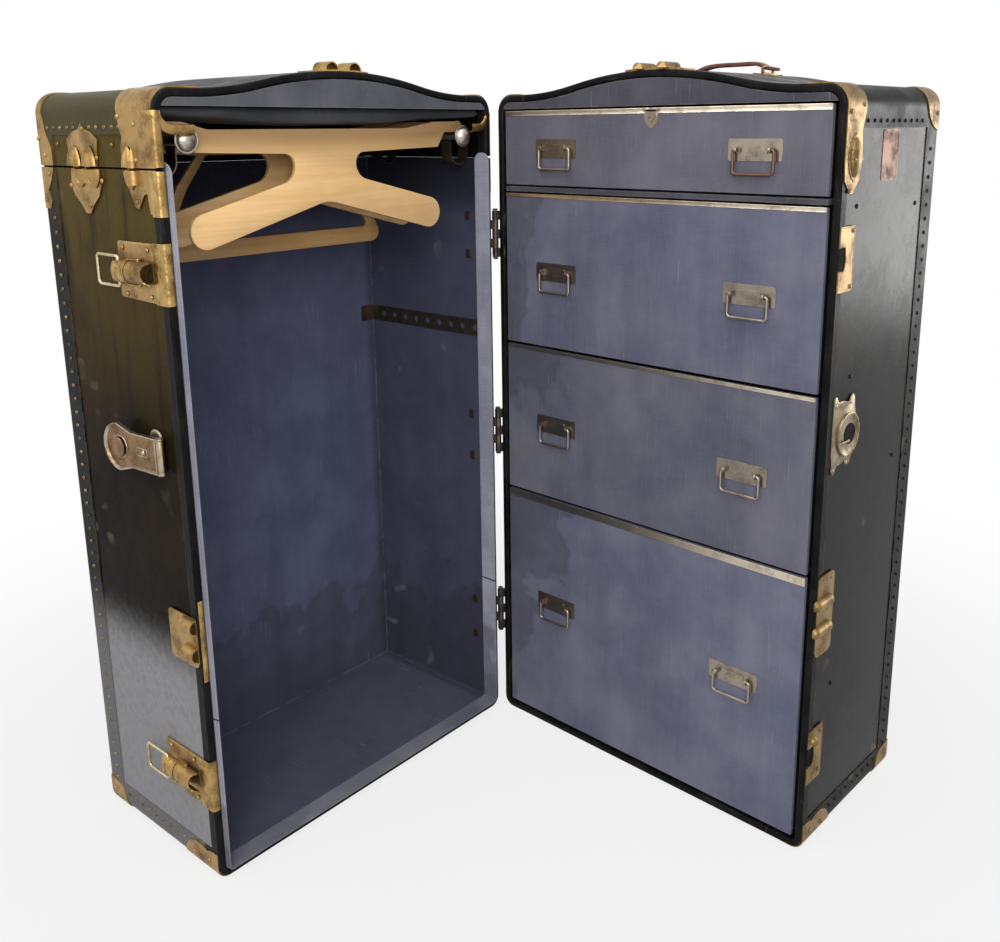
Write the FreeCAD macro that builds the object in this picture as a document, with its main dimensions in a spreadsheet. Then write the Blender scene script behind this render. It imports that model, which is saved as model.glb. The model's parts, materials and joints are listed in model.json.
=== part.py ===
"""Wardrobe trunk: a drawer half and a hanging half that stand open on their common hinges.

Both halves are drawn shut, with the hinge line as the Z axis: the drawer half fills +Y, the
hanging half fills -Y, and their rims meet at Y = 0. The hanging half is then swung open.
"""
import FreeCAD
import Part

import math
import os
import re

import Sketcher

doc = FreeCAD.newDocument("WardrobeTrunk")

# --- Driving dimensions, in millimetres and degrees -------------------------------------------
SIZES = (
    ("case_width", 556, "outside width of each half"),
    ("case_height", 1016, "height of the side walls above the floor"),
    ("half_depth", 280, "outside depth of each half"),
    ("wall", 8, "laminated wooden wall"),
    ("open_angle", 87.2, "how far the hanging half stands open"),
    ("hinge_gap", 9, "from the hinge line to the side walls"),
    ("foot_height", 2.7, "wooden floor above the ground, room for binding and foot caps"),
    ("foot_round", 15, "radius of the lower corners"),
    ("shoulder_round", 24, "radius of the upper corners"),
    ("edge_round", 9, "radius of the edges round the back"),
    ("crown_rise", 26, "height of the crown over the side walls"),
    ("crown_flat", 46, "level stretch at each end of the crown"),
    ("hollow_share", 0.43, "share of the crown's curve that is hollow"),
    ("binding", 1.2, "fibre binding over the edges"),
    ("band", 40, "width of the binding on the sides and the back"),
    ("top_band", 50, "height of the top cover's flange"),
    ("rim_cover", 4, "solid nose of the front rim"),
    ("rim_depth", 16, "depth of the front rim"),
    ("nose_round", 3.4, "rounding of the rim's nose"),
    ("plate", 1.5, "sheet thickness of the brass fittings"),
    ("lining", 1, "cloth on card inside the hanging half"),
    ("lip_thick", 3, "dust lip"),
    ("lip_proud", 6, "dust lip beyond the rim"),
    ("lip_depth", 22, "dust lip behind the rim"),
    ("lip_step", 1, "side clearance of the lip's tongue"),
    ("lift_top_height", 90, "depth of the lift-top below the side walls' upper end"),
    ("split_gap", 2.5, "gap between the box and the lift-top"),
    ("drawer_floor", 18, "underside of the bottom drawer"),
    ("drawer_inset", 15, "from the side wall's outside to the drawer fronts"),
    ("drawer_gap", 5, "gap between drawers"),
    ("drawer_head_room", 22, "top drawer below the side walls' upper end"),
    ("drawer_three_height", 236, "third drawer"),
    ("drawer_two_height", 229, "second drawer"),
    ("drawer_one_height", 107, "top drawer"),
    ("front_thick", 6, "drawer front"),
    ("front_recess", 0.8, "drawer fronts behind the rim"),
    ("box_thick", 5, "drawer sides and back"),
    ("box_back_room", 14, "free depth behind a drawer"),
    ("box_lift", 6, "drawer floor above the lower edge of its front"),
    ("box_drop", 9, "drawer sides below the upper edge of the front"),
    ("runner_board", 6, "thickness of a runner frame"),
    ("runner_reach", 11, "how far a runner reaches under a drawer"),
    ("runner_high", 5, "height of a runner"),
    ("slip", 0.5, "sliding clearance"),
    ("board_thick", 7, "dust board under the top drawer"),
    ("board_gap", 3, "gap above and below the dust board"),
    ("valance_thick", 6, "front boards under the crown"),
    ("handle_inset", 100, "drawer handle's middle from the side of the front"),
    ("deep_handle_lift", 15, "raises the handles of the bottom drawer"),
    ("grip_plate_width", 76, "drawer handle plate"),
    ("grip_plate_height", 27, "drawer handle plate"),
    ("grip_wire", 2, "radius of a drawer bail's wire"),
    ("grip_span", 54, "width of a drawer bail"),
    ("grip_drop", 30, "drop of a drawer bail"),
    ("grip_stand", 5.5, "drawer bail's pivot before the front"),
    ("fit", 0.3, "running clearance round wires and pins"),
    ("hinge_tall", 72, "height of a main hinge"),
    ("hinge_drop", 206, "middle of the upper hinge below the side walls' upper end"),
    ("hinge_middle", 492, "middle of the middle hinge"),
    ("hinge_lower", 177, "middle of the lower hinge"),
    ("leaf", 2, "hinge leaf"),
    ("leaf_reach", 42, "how far a hinge leaf reaches from the hinge line"),
    ("knuckle", 5, "outer radius of the hinge knuckles"),
    ("pin", 2.5, "radius of the hinge pins"),
    ("rod_spread", 464, "distance between the hanger rods"),
    ("rod_drop", 57, "hanger rods below the side walls' upper end"),
    ("rod", 5.5, "radius of the hanger rods"),
    ("rod_front", 14, "front end of the rods behind the rim"),
    ("rod_back_room", 30, "rear bar of the trolley from the outside of the back"),
    ("rod_bend", 18, "bend radius of the rods into the rear bar"),
    ("knob", 11.5, "radius of the rod knobs"),
    ("knob_high", 9, "height of a knob's dome"),
    ("hanger_thick", 6, "plywood hangers"),
    ("hanger_half", 252, "half the length of a hanger"),
    ("hanger_shift", 12, "hangers stand this far off the middle"),
    ("hanger_first", 22, "front hanger behind the rim"),
    ("hanger_second", 78, "second hanger behind the rim"),
    ("hanger_third", 140, "trouser hanger behind the rim"),
    ("strap_thick", 1.2, "perforated strap"),
    ("strap_high", 661, "middle of the perforated strap"),
    ("strap_wide", 26, "width of the perforated strap"),
    ("bolt_drop", 208, "upper draw bolt below the side walls' upper end"),
    ("bolt_lower", 142, "height of the lower draw bolt"),
    ("bolt_plate", 76, "height of a draw bolt's plate"),
    ("bolt_reach", 100, "reach of a draw bolt's plate from the rim"),
    ("bolt_pivot", 50, "lever pivot behind the rim"),
    ("bolt_stand", 5, "lever pivot above its plate"),
    ("lever_long", 60, "length of a draw bolt's lever"),
    ("lever_wide", 30, "width of a lever"),
    ("bail_wire", 1.9, "radius of a draw bolt's wire bail"),
    ("bail_long", 48, "length of a draw bolt's bail"),
    ("lock_high", 585, "height of the lock"),
    ("hasp_pivot", 38, "hasp hinge behind the rim"),
    ("hasp_long", 98, "hasp hinge to the middle of its cup"),
    ("hasp_wide", 42, "width of the hasp"),
    ("cup", 26, "radius of the hasp's cup"),
    ("dowel_high", 348, "height of the side dowels"),
    ("dowel", 8, "radius of a dowel"),
    ("dowel_pitch", 38, "distance between the two dowels of a plate"),
    ("dowel_long", 34, "length of a dowel on its plate"),
    ("dowel_nose", 8, "dowel beyond its plate"),
    ("lid_dowel_back", 163, "lift-top dowels behind the rim"),
    ("cap", 58, "reach of the corner caps"),
    ("strap_gap", 44, "long shoulder strap above the upper draw bolt's plate"),
    ("lid_strap_wide", 84, "width of the lift-top's front bracket"),
    ("handle_high", 13, "rise of the carry handle over the crown"),
    ("handle_long", 118, "distance between the carry handle's loops"),
    ("handle_back", 205, "carry handle behind the rim"),
)
sizes = doc.addObject("Spreadsheet::Sheet", "Sizes")
for row, (alias, number, note) in enumerate(SIZES, start=1):
    sizes.set(f"A{row}", alias)
    sizes.set(f"B{row}", str(number))
    sizes.set(f"C{row}", note)
    sizes.setAlias(f"B{row}", alias)
doc.recompute()

ALIASES = {alias for alias, number, note in SIZES}
WORD = re.compile(r"[a-z][a-z0-9_]*")
FOLLOWING = {
    "split_height": "case_height - lift_top_height",
    "hinge_upper": "case_height - hinge_drop",
    "rod_high": "case_height - rod_drop",
    "rod_back": "half_depth - rod_back_room",
    "bolt_upper": "case_height - bolt_drop",
    "strap_foot": "bolt_upper + bolt_plate / 2 + strap_gap",
    "one_low": "case_height - drawer_head_room - drawer_one_height",
    "board_low": "one_low - board_gap - board_thick",
    "two_low": "board_low - board_gap - drawer_two_height",
    "three_low": "two_low - drawer_gap - drawer_three_height",
    "drawer_four_height": "three_low - drawer_gap - drawer_floor",
}


def bind(formula):
    """A formula of size names, as an expression on the sheet."""
    def bound(match):
        word = match[0]
        if word in FOLLOWING:
            return f"({bind(FOLLOWING[word])})"
        return f"Sizes.{word}" if word in ALIASES else word
    return WORD.sub(bound, str(formula))


def value(formula):
    """The formula's present value."""
    result = sizes.evalExpression(bind(formula))
    return float(getattr(result, "Value", result))


# --- Places that several pieces share ---------------------------------------------------------
LEFT = "hinge_gap"
RIGHT = "(hinge_gap + case_width)"
MIDDLE = "(hinge_gap + case_width / 2)"
OUTER = "(hinge_gap + case_width + binding)"
FACE = "(hinge_gap + case_width + binding + plate)"
CROWN_RUN = "(case_width / 2 - crown_flat)"
CROWN_ANGLE = f"(2 * atan(crown_rise / {CROWN_RUN}))"
CROWN_RADII = f"({CROWN_RUN} / sin({CROWN_ANGLE}))"
HOLLOW = f"({CROWN_RADII} * hollow_share)"
SWELL = f"({CROWN_RADII} * (1 - hollow_share))"
LEG = "(wall + binding)"
LID_LOW = "(split_height + split_gap)"
FRONT_LEFT = "(hinge_gap + drawer_inset)"
FRONT_RIGHT = "(hinge_gap + case_width - drawer_inset)"
VALANCE_LOW = "(one_low + drawer_one_height + board_gap)"
ROD_LEFT = f"({MIDDLE} - rod_spread / 2)"
ROD_RIGHT = f"({MIDDLE} + rod_spread / 2)"
HANGER_MIDDLE = f"({MIDDLE} + hanger_shift)"
ROD_TOP = "(rod_high + rod)"
HINGE_X = "((half_depth * sin(open_angle) - hinge_gap - case_width) / 2)"
HINGE_Y = f"(({RIGHT} * sin(open_angle) + half_depth * cos(open_angle) - half_depth) / 2)"
DRAWER, HANGING = 1, -1

exported = []


# --- Modelling helpers ------------------------------------------------------------------------
def depth(half, near, far):
    """Y span of something that lies between near and far behind the rim of a half."""
    if half == DRAWER:
        return near, far
    return f"-({far})", f"-({near})"


def new_body(name):
    body = doc.addObject("PartDesign::Body", name)
    body.AllowCompound = True
    return body


def arc_between(start, end, radius, turn):
    """Short arc from start to end; turn is 1 to go anticlockwise and -1 for clockwise."""
    chord = end - start
    half = chord.Length / 2
    sideways = FreeCAD.Vector(-chord.y, chord.x, 0).normalize()
    centre = (start + end) / 2 + sideways * turn * math.sqrt(max(radius ** 2 - half ** 2, 0))
    first, last = (start, end) if turn > 0 else (end, start)
    begin = math.atan2(first.y - centre.y, first.x - centre.x)
    finish = math.atan2(last.y - centre.y, last.x - centre.x)
    if finish < begin:
        finish += 2 * math.pi
    circle = Part.Circle(centre, FreeCAD.Vector(0, 0, 1), radius)
    return Part.ArcOfCircle(circle, begin, finish)


def bind_constraint(sketch, constraint, formula):
    index = sketch.addConstraint(constraint)
    sketch.setExpression(f"Constraints[{index}]", bind(formula))


def draw_circle(sketch, across, up, radius):
    centre = FreeCAD.Vector(value(across), value(up), 0)
    circle = Part.Circle(centre, FreeCAD.Vector(0, 0, 1), value(radius))
    index = sketch.addGeometry(circle, False)
    bind_constraint(sketch, Sketcher.Constraint("DistanceX", -1, 1, index, 3, centre.x), across)
    bind_constraint(sketch, Sketcher.Constraint("DistanceY", -1, 1, index, 3, centre.y), up)
    bind_constraint(sketch, Sketcher.Constraint("Radius", index, value(radius)), radius)


def draw_path(sketch, corners, closed=True):
    """Lines and arcs through corners (x, y) or (x, y, radius, turn of the edge that leaves)."""
    spots = [FreeCAD.Vector(value(corner[0]), value(corner[1]), 0) for corner in corners]
    count = len(corners) if closed else len(corners) - 1
    ends = []
    for number in range(count):
        start, end = spots[number], spots[(number + 1) % len(spots)]
        if len(corners[number]) == 2:
            edge = Part.LineSegment(start, end)
            index = sketch.addGeometry(edge, False)
            ends.append((index, 1, 2))
            continue
        radius, turn = corners[number][2:]
        index = sketch.addGeometry(arc_between(start, end, value(radius), turn), False)
        ends.append((index, 1, 2) if turn > 0 else (index, 2, 1))
        bind_constraint(sketch, Sketcher.Constraint("Radius", index, value(radius)), radius)
    for number in range(count if closed else count - 1):
        one, two = ends[number], ends[(number + 1) % count]
        sketch.addConstraint(Sketcher.Constraint("Coincident", one[0], one[2], two[0], two[1]))
    for number, spot in enumerate(spots):
        if number < count:
            edge, point = ends[number][0], ends[number][1]
        else:
            edge, point = ends[-1][0], ends[-1][2]
        across = Sketcher.Constraint("DistanceX", -1, 1, edge, point, spot.x)
        up = Sketcher.Constraint("DistanceY", -1, 1, edge, point, spot.y)
        bind_constraint(sketch, across, corners[number][0])
        bind_constraint(sketch, up, corners[number][1])


def draw(body, plane, loops, offset="0", rise="0", closed=True, aside="0"):
    """Sketch on an origin plane of the body, moved along its normal and along its own axes."""
    sketch = body.newObject("Sketcher::SketchObject", "Sketch")
    origin_plane = next(item for item in body.Origin.OriginFeatures if item.Role == plane)
    sketch.AttachmentSupport = [(origin_plane, "")]
    sketch.MapMode = "FlatFace"
    sketch.setExpression("AttachmentOffset.Base.z", bind(offset))
    sketch.setExpression("AttachmentOffset.Base.y", bind(rise))
    sketch.setExpression("AttachmentOffset.Base.x", bind(aside))
    for loop in loops:
        if loop[0] == "circle":
            draw_circle(sketch, *loop[1:])
        else:
            draw_path(sketch, loop, closed)
    return sketch


def extrude(body, plane, loops, start, end, cut=False):
    """Pad or pocket of closed loops between two positions along the plane's own axis."""
    offset = f"-({end})" if plane == "XZ_Plane" else start
    sketch = draw(body, plane, loops, offset)
    kind = "PartDesign::Pocket" if cut else "PartDesign::Pad"
    feature = body.newObject(kind, "Cut" if cut else "Pad")
    feature.Profile = sketch
    feature.Reversed = cut
    feature.setExpression("Length", bind(f"({end}) - ({start})"))
    return feature


def revolve(body, plane, loop, offset="0", rise="0", angle=360, across=True, aside="0",
            back=False):
    """Revolution of a closed loop about its sketch's horizontal or vertical axis."""
    sketch = draw(body, plane, [loop], offset, rise, aside=aside)
    feature = body.newObject("PartDesign::Revolution", "Turned")
    feature.Profile = sketch
    feature.ReferenceAxis = (sketch, ["H_Axis" if across else "V_Axis"])
    feature.Angle = angle
    feature.Reversed = back
    return feature


def pipe(body, plane, path, offset, section_plane, section, section_at):
    """Sweep of a section along an open path that starts square to the section's plane."""
    spine = draw(body, plane, [path], offset, closed=False)
    profile = draw(body, section_plane, [section], section_at)
    feature = body.newObject("PartDesign::AdditivePipe", "Pipe")
    feature.Profile = profile
    feature.Spine = (spine, [])
    return feature


def round_edges(body, radius, chosen):
    """Fillet the edges of the body's present shape that the test picks."""
    doc.recompute()
    base = body.Tip
    names = [f"Edge{i}" for i, edge in enumerate(base.Shape.Edges, 1) if chosen(edge)]
    fillet = body.newObject("PartDesign::Fillet", "Rounding")
    fillet.Base = (base, names)
    fillet.setExpression("Radius", bind(radius))
    doc.recompute()


def at_depth(position):
    """Test for edges that lie in a plane Y = position."""
    place = value(position)

    def chosen(edge):
        box = edge.BoundBox
        return abs(box.YMin - place) < 0.01 and abs(box.YMax - place) < 0.01
    return chosen


def along_z(edge):
    """Test for upright edges."""
    box = edge.BoundBox
    return box.XLength < 0.01 and box.YLength < 0.01


def rectangle(left, right, low, high):
    return [(left, low), (right, low), (right, high), (left, high)]


def rounded(left, right, low, high, radius):
    """Rectangle with rounded corners."""
    return [
        (f"{left} + {radius}", low),
        (f"{right} - {radius}", low, radius, 1),
        (right, f"{low} + {radius}"),
        (right, f"{high} - {radius}", radius, 1),
        (f"{right} - {radius}", high),
        (f"{left} + {radius}", high, radius, 1),
        (left, f"{high} - {radius}"),
        (left, f"{low} + {radius}", radius, 1),
    ]


def boolean(kind, name, base, tool):
    feature = doc.addObject(kind, name)
    feature.Base = base
    feature.Tool = tool
    return feature


def finish(piece, name, half):
    """Give a piece its name and its place: the hanging half is swung open."""
    piece.Label = name
    swing = -value("open_angle") if half == HANGING else 0
    hinge = FreeCAD.Vector(value(HINGE_X), value(HINGE_Y), 0)
    piece.Placement = FreeCAD.Placement(hinge, FreeCAD.Rotation(FreeCAD.Vector(0, 0, 1), swing))
    piece.setExpression(".Placement.Base.x", bind(HINGE_X))
    piece.setExpression(".Placement.Base.y", bind(HINGE_Y))
    exported.append(piece)
    return piece


def half_outline(inset, low=None, high=None):
    """Front view of a half, drawn in by inset, with a level cut where low or high is given."""
    left = f"(hinge_gap + {inset})"
    right = f"(hinge_gap + case_width - {inset})"
    foot = f"(foot_height + {inset})"
    top = f"(case_height - {inset})"
    foot_turn = f"(foot_round - {inset})"
    turn = f"(shoulder_round - {inset})"
    swell = f"({SWELL} - {inset})"
    hollow = f"({HOLLOW} + {inset})"
    reach = f"{swell} * sin({CROWN_ANGLE})"
    bend = f"{top} + {hollow} * (1 - cos({CROWN_ANGLE}))"
    corners = []
    if low is None:
        corners.append((f"{left} + {foot_turn}", foot))
        corners.append((f"{right} - {foot_turn}", foot, foot_turn, 1))
        corners.append((right, f"{foot} + {foot_turn}"))
    else:
        corners.append((left, low))
        corners.append((right, low))
    if high is None:
        corners.append((right, f"{top} - {turn}", turn, 1))
        corners.append((f"{right} - {turn}", top))
        corners.append((f"{MIDDLE} + {CROWN_RUN}", top, hollow, -1))
        corners.append((f"{MIDDLE} + {reach}", bend, swell, 1))
        corners.append((f"{MIDDLE} - {reach}", bend, hollow, -1))
        corners.append((f"{MIDDLE} - {CROWN_RUN}", top))
        corners.append((f"{left} + {turn}", top, turn, 1))
        corners.append((left, f"{top} - {turn}"))
    else:
        corners.append((right, high))
        corners.append((left, high))
    if low is None:
        corners.append((left, f"{foot} + {foot_turn}", foot_turn, 1))
    return corners


# --- Cases: box, rim and binding --------------------------------------------------------------
def make_case(name, half, low=None, high=None):
    """Wooden box, open at the front, with rounded edges round its back."""
    body = new_body(name)
    start, end = depth(half, "rim_cover", "half_depth")
    extrude(body, "XZ_Plane", [half_outline("0", low, high)], start, end)
    back = "half_depth" if half == DRAWER else "-half_depth"
    inner_low = low and f"{low} - wall"
    inner_high = high and f"{high} + wall"
    start, end = depth(half, "rim_cover", "half_depth - wall")
    inside = [half_outline("wall", inner_low, inner_high)]
    extrude(body, "XZ_Plane", inside, start, end, cut=True)
    outside = at_depth(back)
    levels = [value(level) for level in (low, high) if level]

    def chosen(edge):
        box = edge.BoundBox
        level = box.ZLength < 0.01 and any(abs(box.ZMin - z) < 0.01 for z in levels)
        return outside(edge) and not level
    round_edges(body, "edge_round", chosen)
    return finish(body, name, half)


def make_edging(name, case, half, low=None, high=None, cover=None):
    """Front rim with a rounded nose, and the binding skin with windows onto the bare panels."""
    body = new_body(name + "_skin")
    rear = "(half_depth + binding)"
    start, end = depth(half, "0", rear)
    extrude(body, "XZ_Plane", [half_outline("-binding", low, high)], start, end)
    outside = at_depth(end if half == DRAWER else start)
    levels = [value(level) for level in (low, high) if level]

    def at_back(edge):
        box = edge.BoundBox
        level = box.ZLength < 0.01 and any(abs(box.ZMin - z) < 0.01 for z in levels)
        return outside(edge) and not level
    round_edges(body, "edge_round + binding", at_back)
    beyond_low = low and f"{low} - wall"
    beyond_high = high and f"{high} + wall"
    for inset, near, far in ((LEG, "0", "rim_depth"), ("wall", "rim_depth", "half_depth - wall")):
        start, end = depth(half, near, far)
        inside = [half_outline(inset, beyond_low, beyond_high)]
        extrude(body, "XZ_Plane", inside, start, end, cut=True)
    nose = at_depth("0")

    def at_nose(edge):
        box = edge.BoundBox
        level = box.ZLength < 0.01 and any(abs(box.ZMin - z) < 0.01 for z in levels)
        return nose(edge) and not level
    round_edges(body, "nose_round", at_nose)
    window_low = f"{low} - wall" if low else "foot_height + band"
    window_high = f"{high} + wall" if high else "case_height - top_band"
    near, far = depth(half, "rim_depth", "half_depth - band")
    side = rectangle(near, far, window_low, window_high)
    extrude(body, "YZ_Plane", [side], "hinge_gap - wall", "hinge_gap + case_width + wall", cut=True)
    start, end = depth(half, "half_depth - wall", "half_depth + wall")
    back = rectangle(f"{LEFT} + band", f"{RIGHT} - band", window_low, window_high)
    extrude(body, "XZ_Plane", [back], start, end, cut=True)
    doc.recompute()
    return finish(boolean("Part::Cut", name, body, case_form(case)), name, half)


def case_form(case):
    """A copy of a case at the place where it was drawn, to cut with."""
    form = doc.addObject("Part::Feature", case.Name + "_form")
    shape = case.Shape.copy()
    shape.Placement = FreeCAD.Placement()
    form.Shape = shape
    return form


drawer_case = make_case("drawer_case", DRAWER)
hanging_case = make_case("hanging_case", HANGING, high="split_height")
lift_top = make_case("lift_top_shell", HANGING, low=LID_LOW)
make_edging("drawer_case_edging", drawer_case, DRAWER)
make_edging("hanging_case_edging", hanging_case, HANGING, high="split_height")
make_edging("lift_top_edging", lift_top, HANGING, low=LID_LOW)


def make_valance(name, half):
    """Cloth-covered board that closes the crown behind the rim."""
    body = new_body(name)
    start, end = depth(half, "front_recess", "front_recess + valance_thick")
    below = f"{VALANCE_LOW} - shoulder_round"
    extrude(body, "XZ_Plane", [half_outline(LEG, low=below)], start, end)
    spare = rectangle(LEFT, RIGHT, f"{below} - wall", VALANCE_LOW)
    extrude(body, "XZ_Plane", [spare], start, end, cut=True)
    finish(body, name, half)


make_valance("drawer_valance", DRAWER)
make_valance("lift_top_valance", HANGING)


def make_hanging_lining():
    """Cloth on card inside the hanging half, open at the top and the front."""
    body = new_body("hanging_lining")
    start, end = depth(HANGING, "rim_depth", "half_depth - wall")
    extrude(body, "XZ_Plane", [half_outline("wall", high="split_height")], start, end)
    start, end = depth(HANGING, "rim_depth", "half_depth - wall - lining")
    inside = half_outline("(wall + lining)", high="split_height + wall")
    extrude(body, "XZ_Plane", [inside], start, end, cut=True)
    finish(body, "hanging_lining", HANGING)


def make_lip():
    """Dust lip: base behind the rim, and a thinner tongue in front of it."""
    body = new_body("dust_lip")
    top = "(split_height + 8)"
    inner = f"({LEG} + lip_thick)"
    tongue = f"({LEG} + lip_step)"
    extrude(body, "XZ_Plane", [half_outline(LEG, high="split_height - 1")], "-lip_depth", "0")
    extrude(body, "XZ_Plane", [half_outline(tongue, high=top)], "-lip_depth", "lip_proud")
    hollow = half_outline(inner, high=f"{top} + wall")
    extrude(body, "XZ_Plane", [hollow], "-lip_depth", "lip_proud", cut=True)
    ends = value(top)
    round_edges(body, "lip_depth * 0.6", lambda edge: edge.BoundBox.YLength < 0.01
                and edge.BoundBox.ZLength < 0.01 and abs(edge.BoundBox.ZMin - ends) < 0.01)
    finish(body, "dust_lip", HANGING)


make_hanging_lining()
make_lip()


# --- Inside the drawer half -------------------------------------------------------------------
DRAWERS = (
    ("one", "one_low", "drawer_one_height", "0"),
    ("two", "two_low", "drawer_two_height", "0"),
    ("three", "three_low", "drawer_three_height", "0"),
    ("four", "drawer_floor", "drawer_four_height", "deep_handle_lift"),
)
BOX_FRONT = "(front_recess + front_thick)"
BOX_BACK = "(half_depth - wall - box_back_room)"
BOX_LEFT = f"({FRONT_LEFT} + slip * 2)"
BOX_RIGHT = f"({FRONT_RIGHT} - slip * 2)"


def make_dust_board():
    """Board under the top drawer, notched at its front corners for the dust lip."""
    body = new_body("dust_board")
    notch = "rim_depth"
    outline = [
        (FRONT_LEFT, "front_recess"), (FRONT_RIGHT, "front_recess"),
        (FRONT_RIGHT, notch), (f"{RIGHT} - wall", notch),
        (f"{RIGHT} - wall", "half_depth - wall"), (f"{LEFT} + wall", "half_depth - wall"),
        (f"{LEFT} + wall", notch), (FRONT_LEFT, notch),
    ]
    extrude(body, "XY_Plane", [outline], "board_low", "board_low + board_thick")
    finish(body, "dust_board", DRAWER)


def make_runners():
    """Two runner frames: uprights and rails against a side wall, with a runner under each drawer."""
    body = new_body("drawer_runners")
    low = "(foot_height + foot_round)"
    stile = "34"
    spans = (
        (f"{LEFT} + wall", f"{LEFT} + wall + runner_board",
         f"{LEFT} + wall + runner_board + runner_reach"),
        (f"{RIGHT} - wall", f"{RIGHT} - wall - runner_board",
         f"{RIGHT} - wall - runner_board - runner_reach"),
    )
    front = "rim_depth"
    back = "(half_depth - wall)"
    for wall_side, inner, tip in spans:
        ordered = (wall_side, inner) if wall_side.startswith(LEFT) else (inner, wall_side)
        loops = [
            rectangle(front, f"{front} + {stile}", low, "board_low"),
            rectangle(f"{back} - {stile}", back, low, "board_low"),
        ]
        for loop in loops:
            extrude(body, "YZ_Plane", [loop], *ordered)
        tipped = (wall_side, tip) if wall_side.startswith(LEFT) else (tip, wall_side)
        for name, drawer_low, height, lift in DRAWERS[1:]:
            bottom = f"({drawer_low} + box_lift - slip - runner_high)"
            runner = rectangle(front, back, bottom, f"{bottom} + runner_high")
            extrude(body, "YZ_Plane", [runner], *tipped)
    finish(body, "drawer_runners", DRAWER)


make_dust_board()
make_runners()


def make_drawer(name, low, height, lift):
    """One drawer: open box, cloth-covered front, two handle plates and their bails."""
    high = f"({low} + {height})"
    front = new_body(f"drawer_{name}_front")
    face = rectangle(FRONT_LEFT, FRONT_RIGHT, low, high)
    extrude(front, "XZ_Plane", [face], "front_recess", BOX_FRONT)
    round_edges(front, "0.8", at_depth("front_recess"))
    finish(front, f"drawer_{name}_front", DRAWER)

    box = new_body(f"drawer_{name}_box")
    outer = rectangle(BOX_LEFT, BOX_RIGHT, BOX_FRONT, BOX_BACK)
    inner = rectangle(f"{BOX_LEFT} + box_thick", f"{BOX_RIGHT} - box_thick",
                      f"{BOX_FRONT} + box_thick", f"{BOX_BACK} - box_thick")
    extrude(box, "XY_Plane", [outer], f"{low} + box_lift", f"{high} - box_drop")
    extrude(box, "XY_Plane", [inner], f"{low} + box_lift + box_thick", f"{high} - box_drop", cut=True)
    finish(box, f"drawer_{name}_box", DRAWER)

    middle = f"({low} + {height} / 2 + {lift})"
    plates = new_body(f"drawer_{name}_handle_plates")
    for side, centre in (("left", f"({FRONT_LEFT} + handle_inset)"),
                         ("right", f"({FRONT_RIGHT} - handle_inset)")):
        make_grip_plate(plates, centre, middle)
        make_grip_bail(f"drawer_{name}_bail_{side}", centre, middle)
    finish(plates, f"drawer_{name}_handle_plates", DRAWER)


def make_grip_plate(body, centre, middle):
    """Pressed plate with a raised rib and two bored ears for the bail."""
    sheet = "1"
    left, right = f"({centre} - grip_plate_width / 2)", f"({centre} + grip_plate_width / 2)"
    low, high = f"({middle} - grip_plate_height / 2)", f"({middle} + grip_plate_height / 2)"
    start = f"front_recess - {sheet}"
    extrude(body, "XZ_Plane", [rounded(left, right, low, high, "3")], start, "front_recess")
    rib = rounded(f"({centre} - 17)", f"({centre} + 17)", f"({middle} - 6)", f"({middle} + 6)", "2")
    extrude(body, "XZ_Plane", [rib], f"{start} - {sheet}", start)
    pivot = "(front_recess - grip_stand)"
    for sign in ("-", "+"):
        ear = f"({centre} {sign} grip_span / 2 {'+' if sign == '-' else '-'} 3.5)"
        loop = [
            (start, f"{middle} - 4"), (start, f"{middle} + 4"),
            (pivot, f"{middle} + 4", "4", 1), (f"{pivot} - 4", middle, "4", 1),
            (pivot, f"{middle} - 4"),
        ]
        hole = ["circle", pivot, middle, "(grip_wire + fit)"]
        extrude(body, "YZ_Plane", [loop, hole], f"{ear} - 1.5", f"{ear} + 1.5")


def make_grip_bail(name, centre, middle):
    """Wire bail that hangs from the two ears of its plate."""
    body = new_body(name)
    half = "grip_span / 2"
    bend = "5"
    drop = f"({middle} - grip_drop)"
    start = f"({centre} - {half} + 6)"
    path = [
        (start, middle),
        (f"{centre} - {half} + 1.5", middle, "3", 1),
        (f"{centre} - {half} - 1.5", f"{middle} - 3"),
        (f"{centre} - {half} - 1.5", f"{drop} + {bend}", bend, 1),
        (f"{centre} - {half} - 1.5 + {bend}", drop),
        (f"{centre} + {half} + 1.5 - {bend}", drop, bend, 1),
        (f"{centre} + {half} + 1.5", f"{drop} + {bend}"),
        (f"{centre} + {half} + 1.5", f"{middle} - 3", "3", 1),
        (f"{centre} + {half} - 1.5", middle),
        (f"{centre} + {half} - 6", middle),
    ]
    pivot = "(front_recess - grip_stand)"
    wire = ["circle", pivot, middle, "grip_wire"]
    pipe(body, "XZ_Plane", path, f"-{pivot}", "YZ_Plane", wire, start)
    finish(body, name, DRAWER)


for drawer in DRAWERS:
    make_drawer(*drawer)


# --- Main hinges ------------------------------------------------------------------------------
HINGES = ("hinge_upper", "hinge_middle", "hinge_lower")
KNUCKLES = 5


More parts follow.
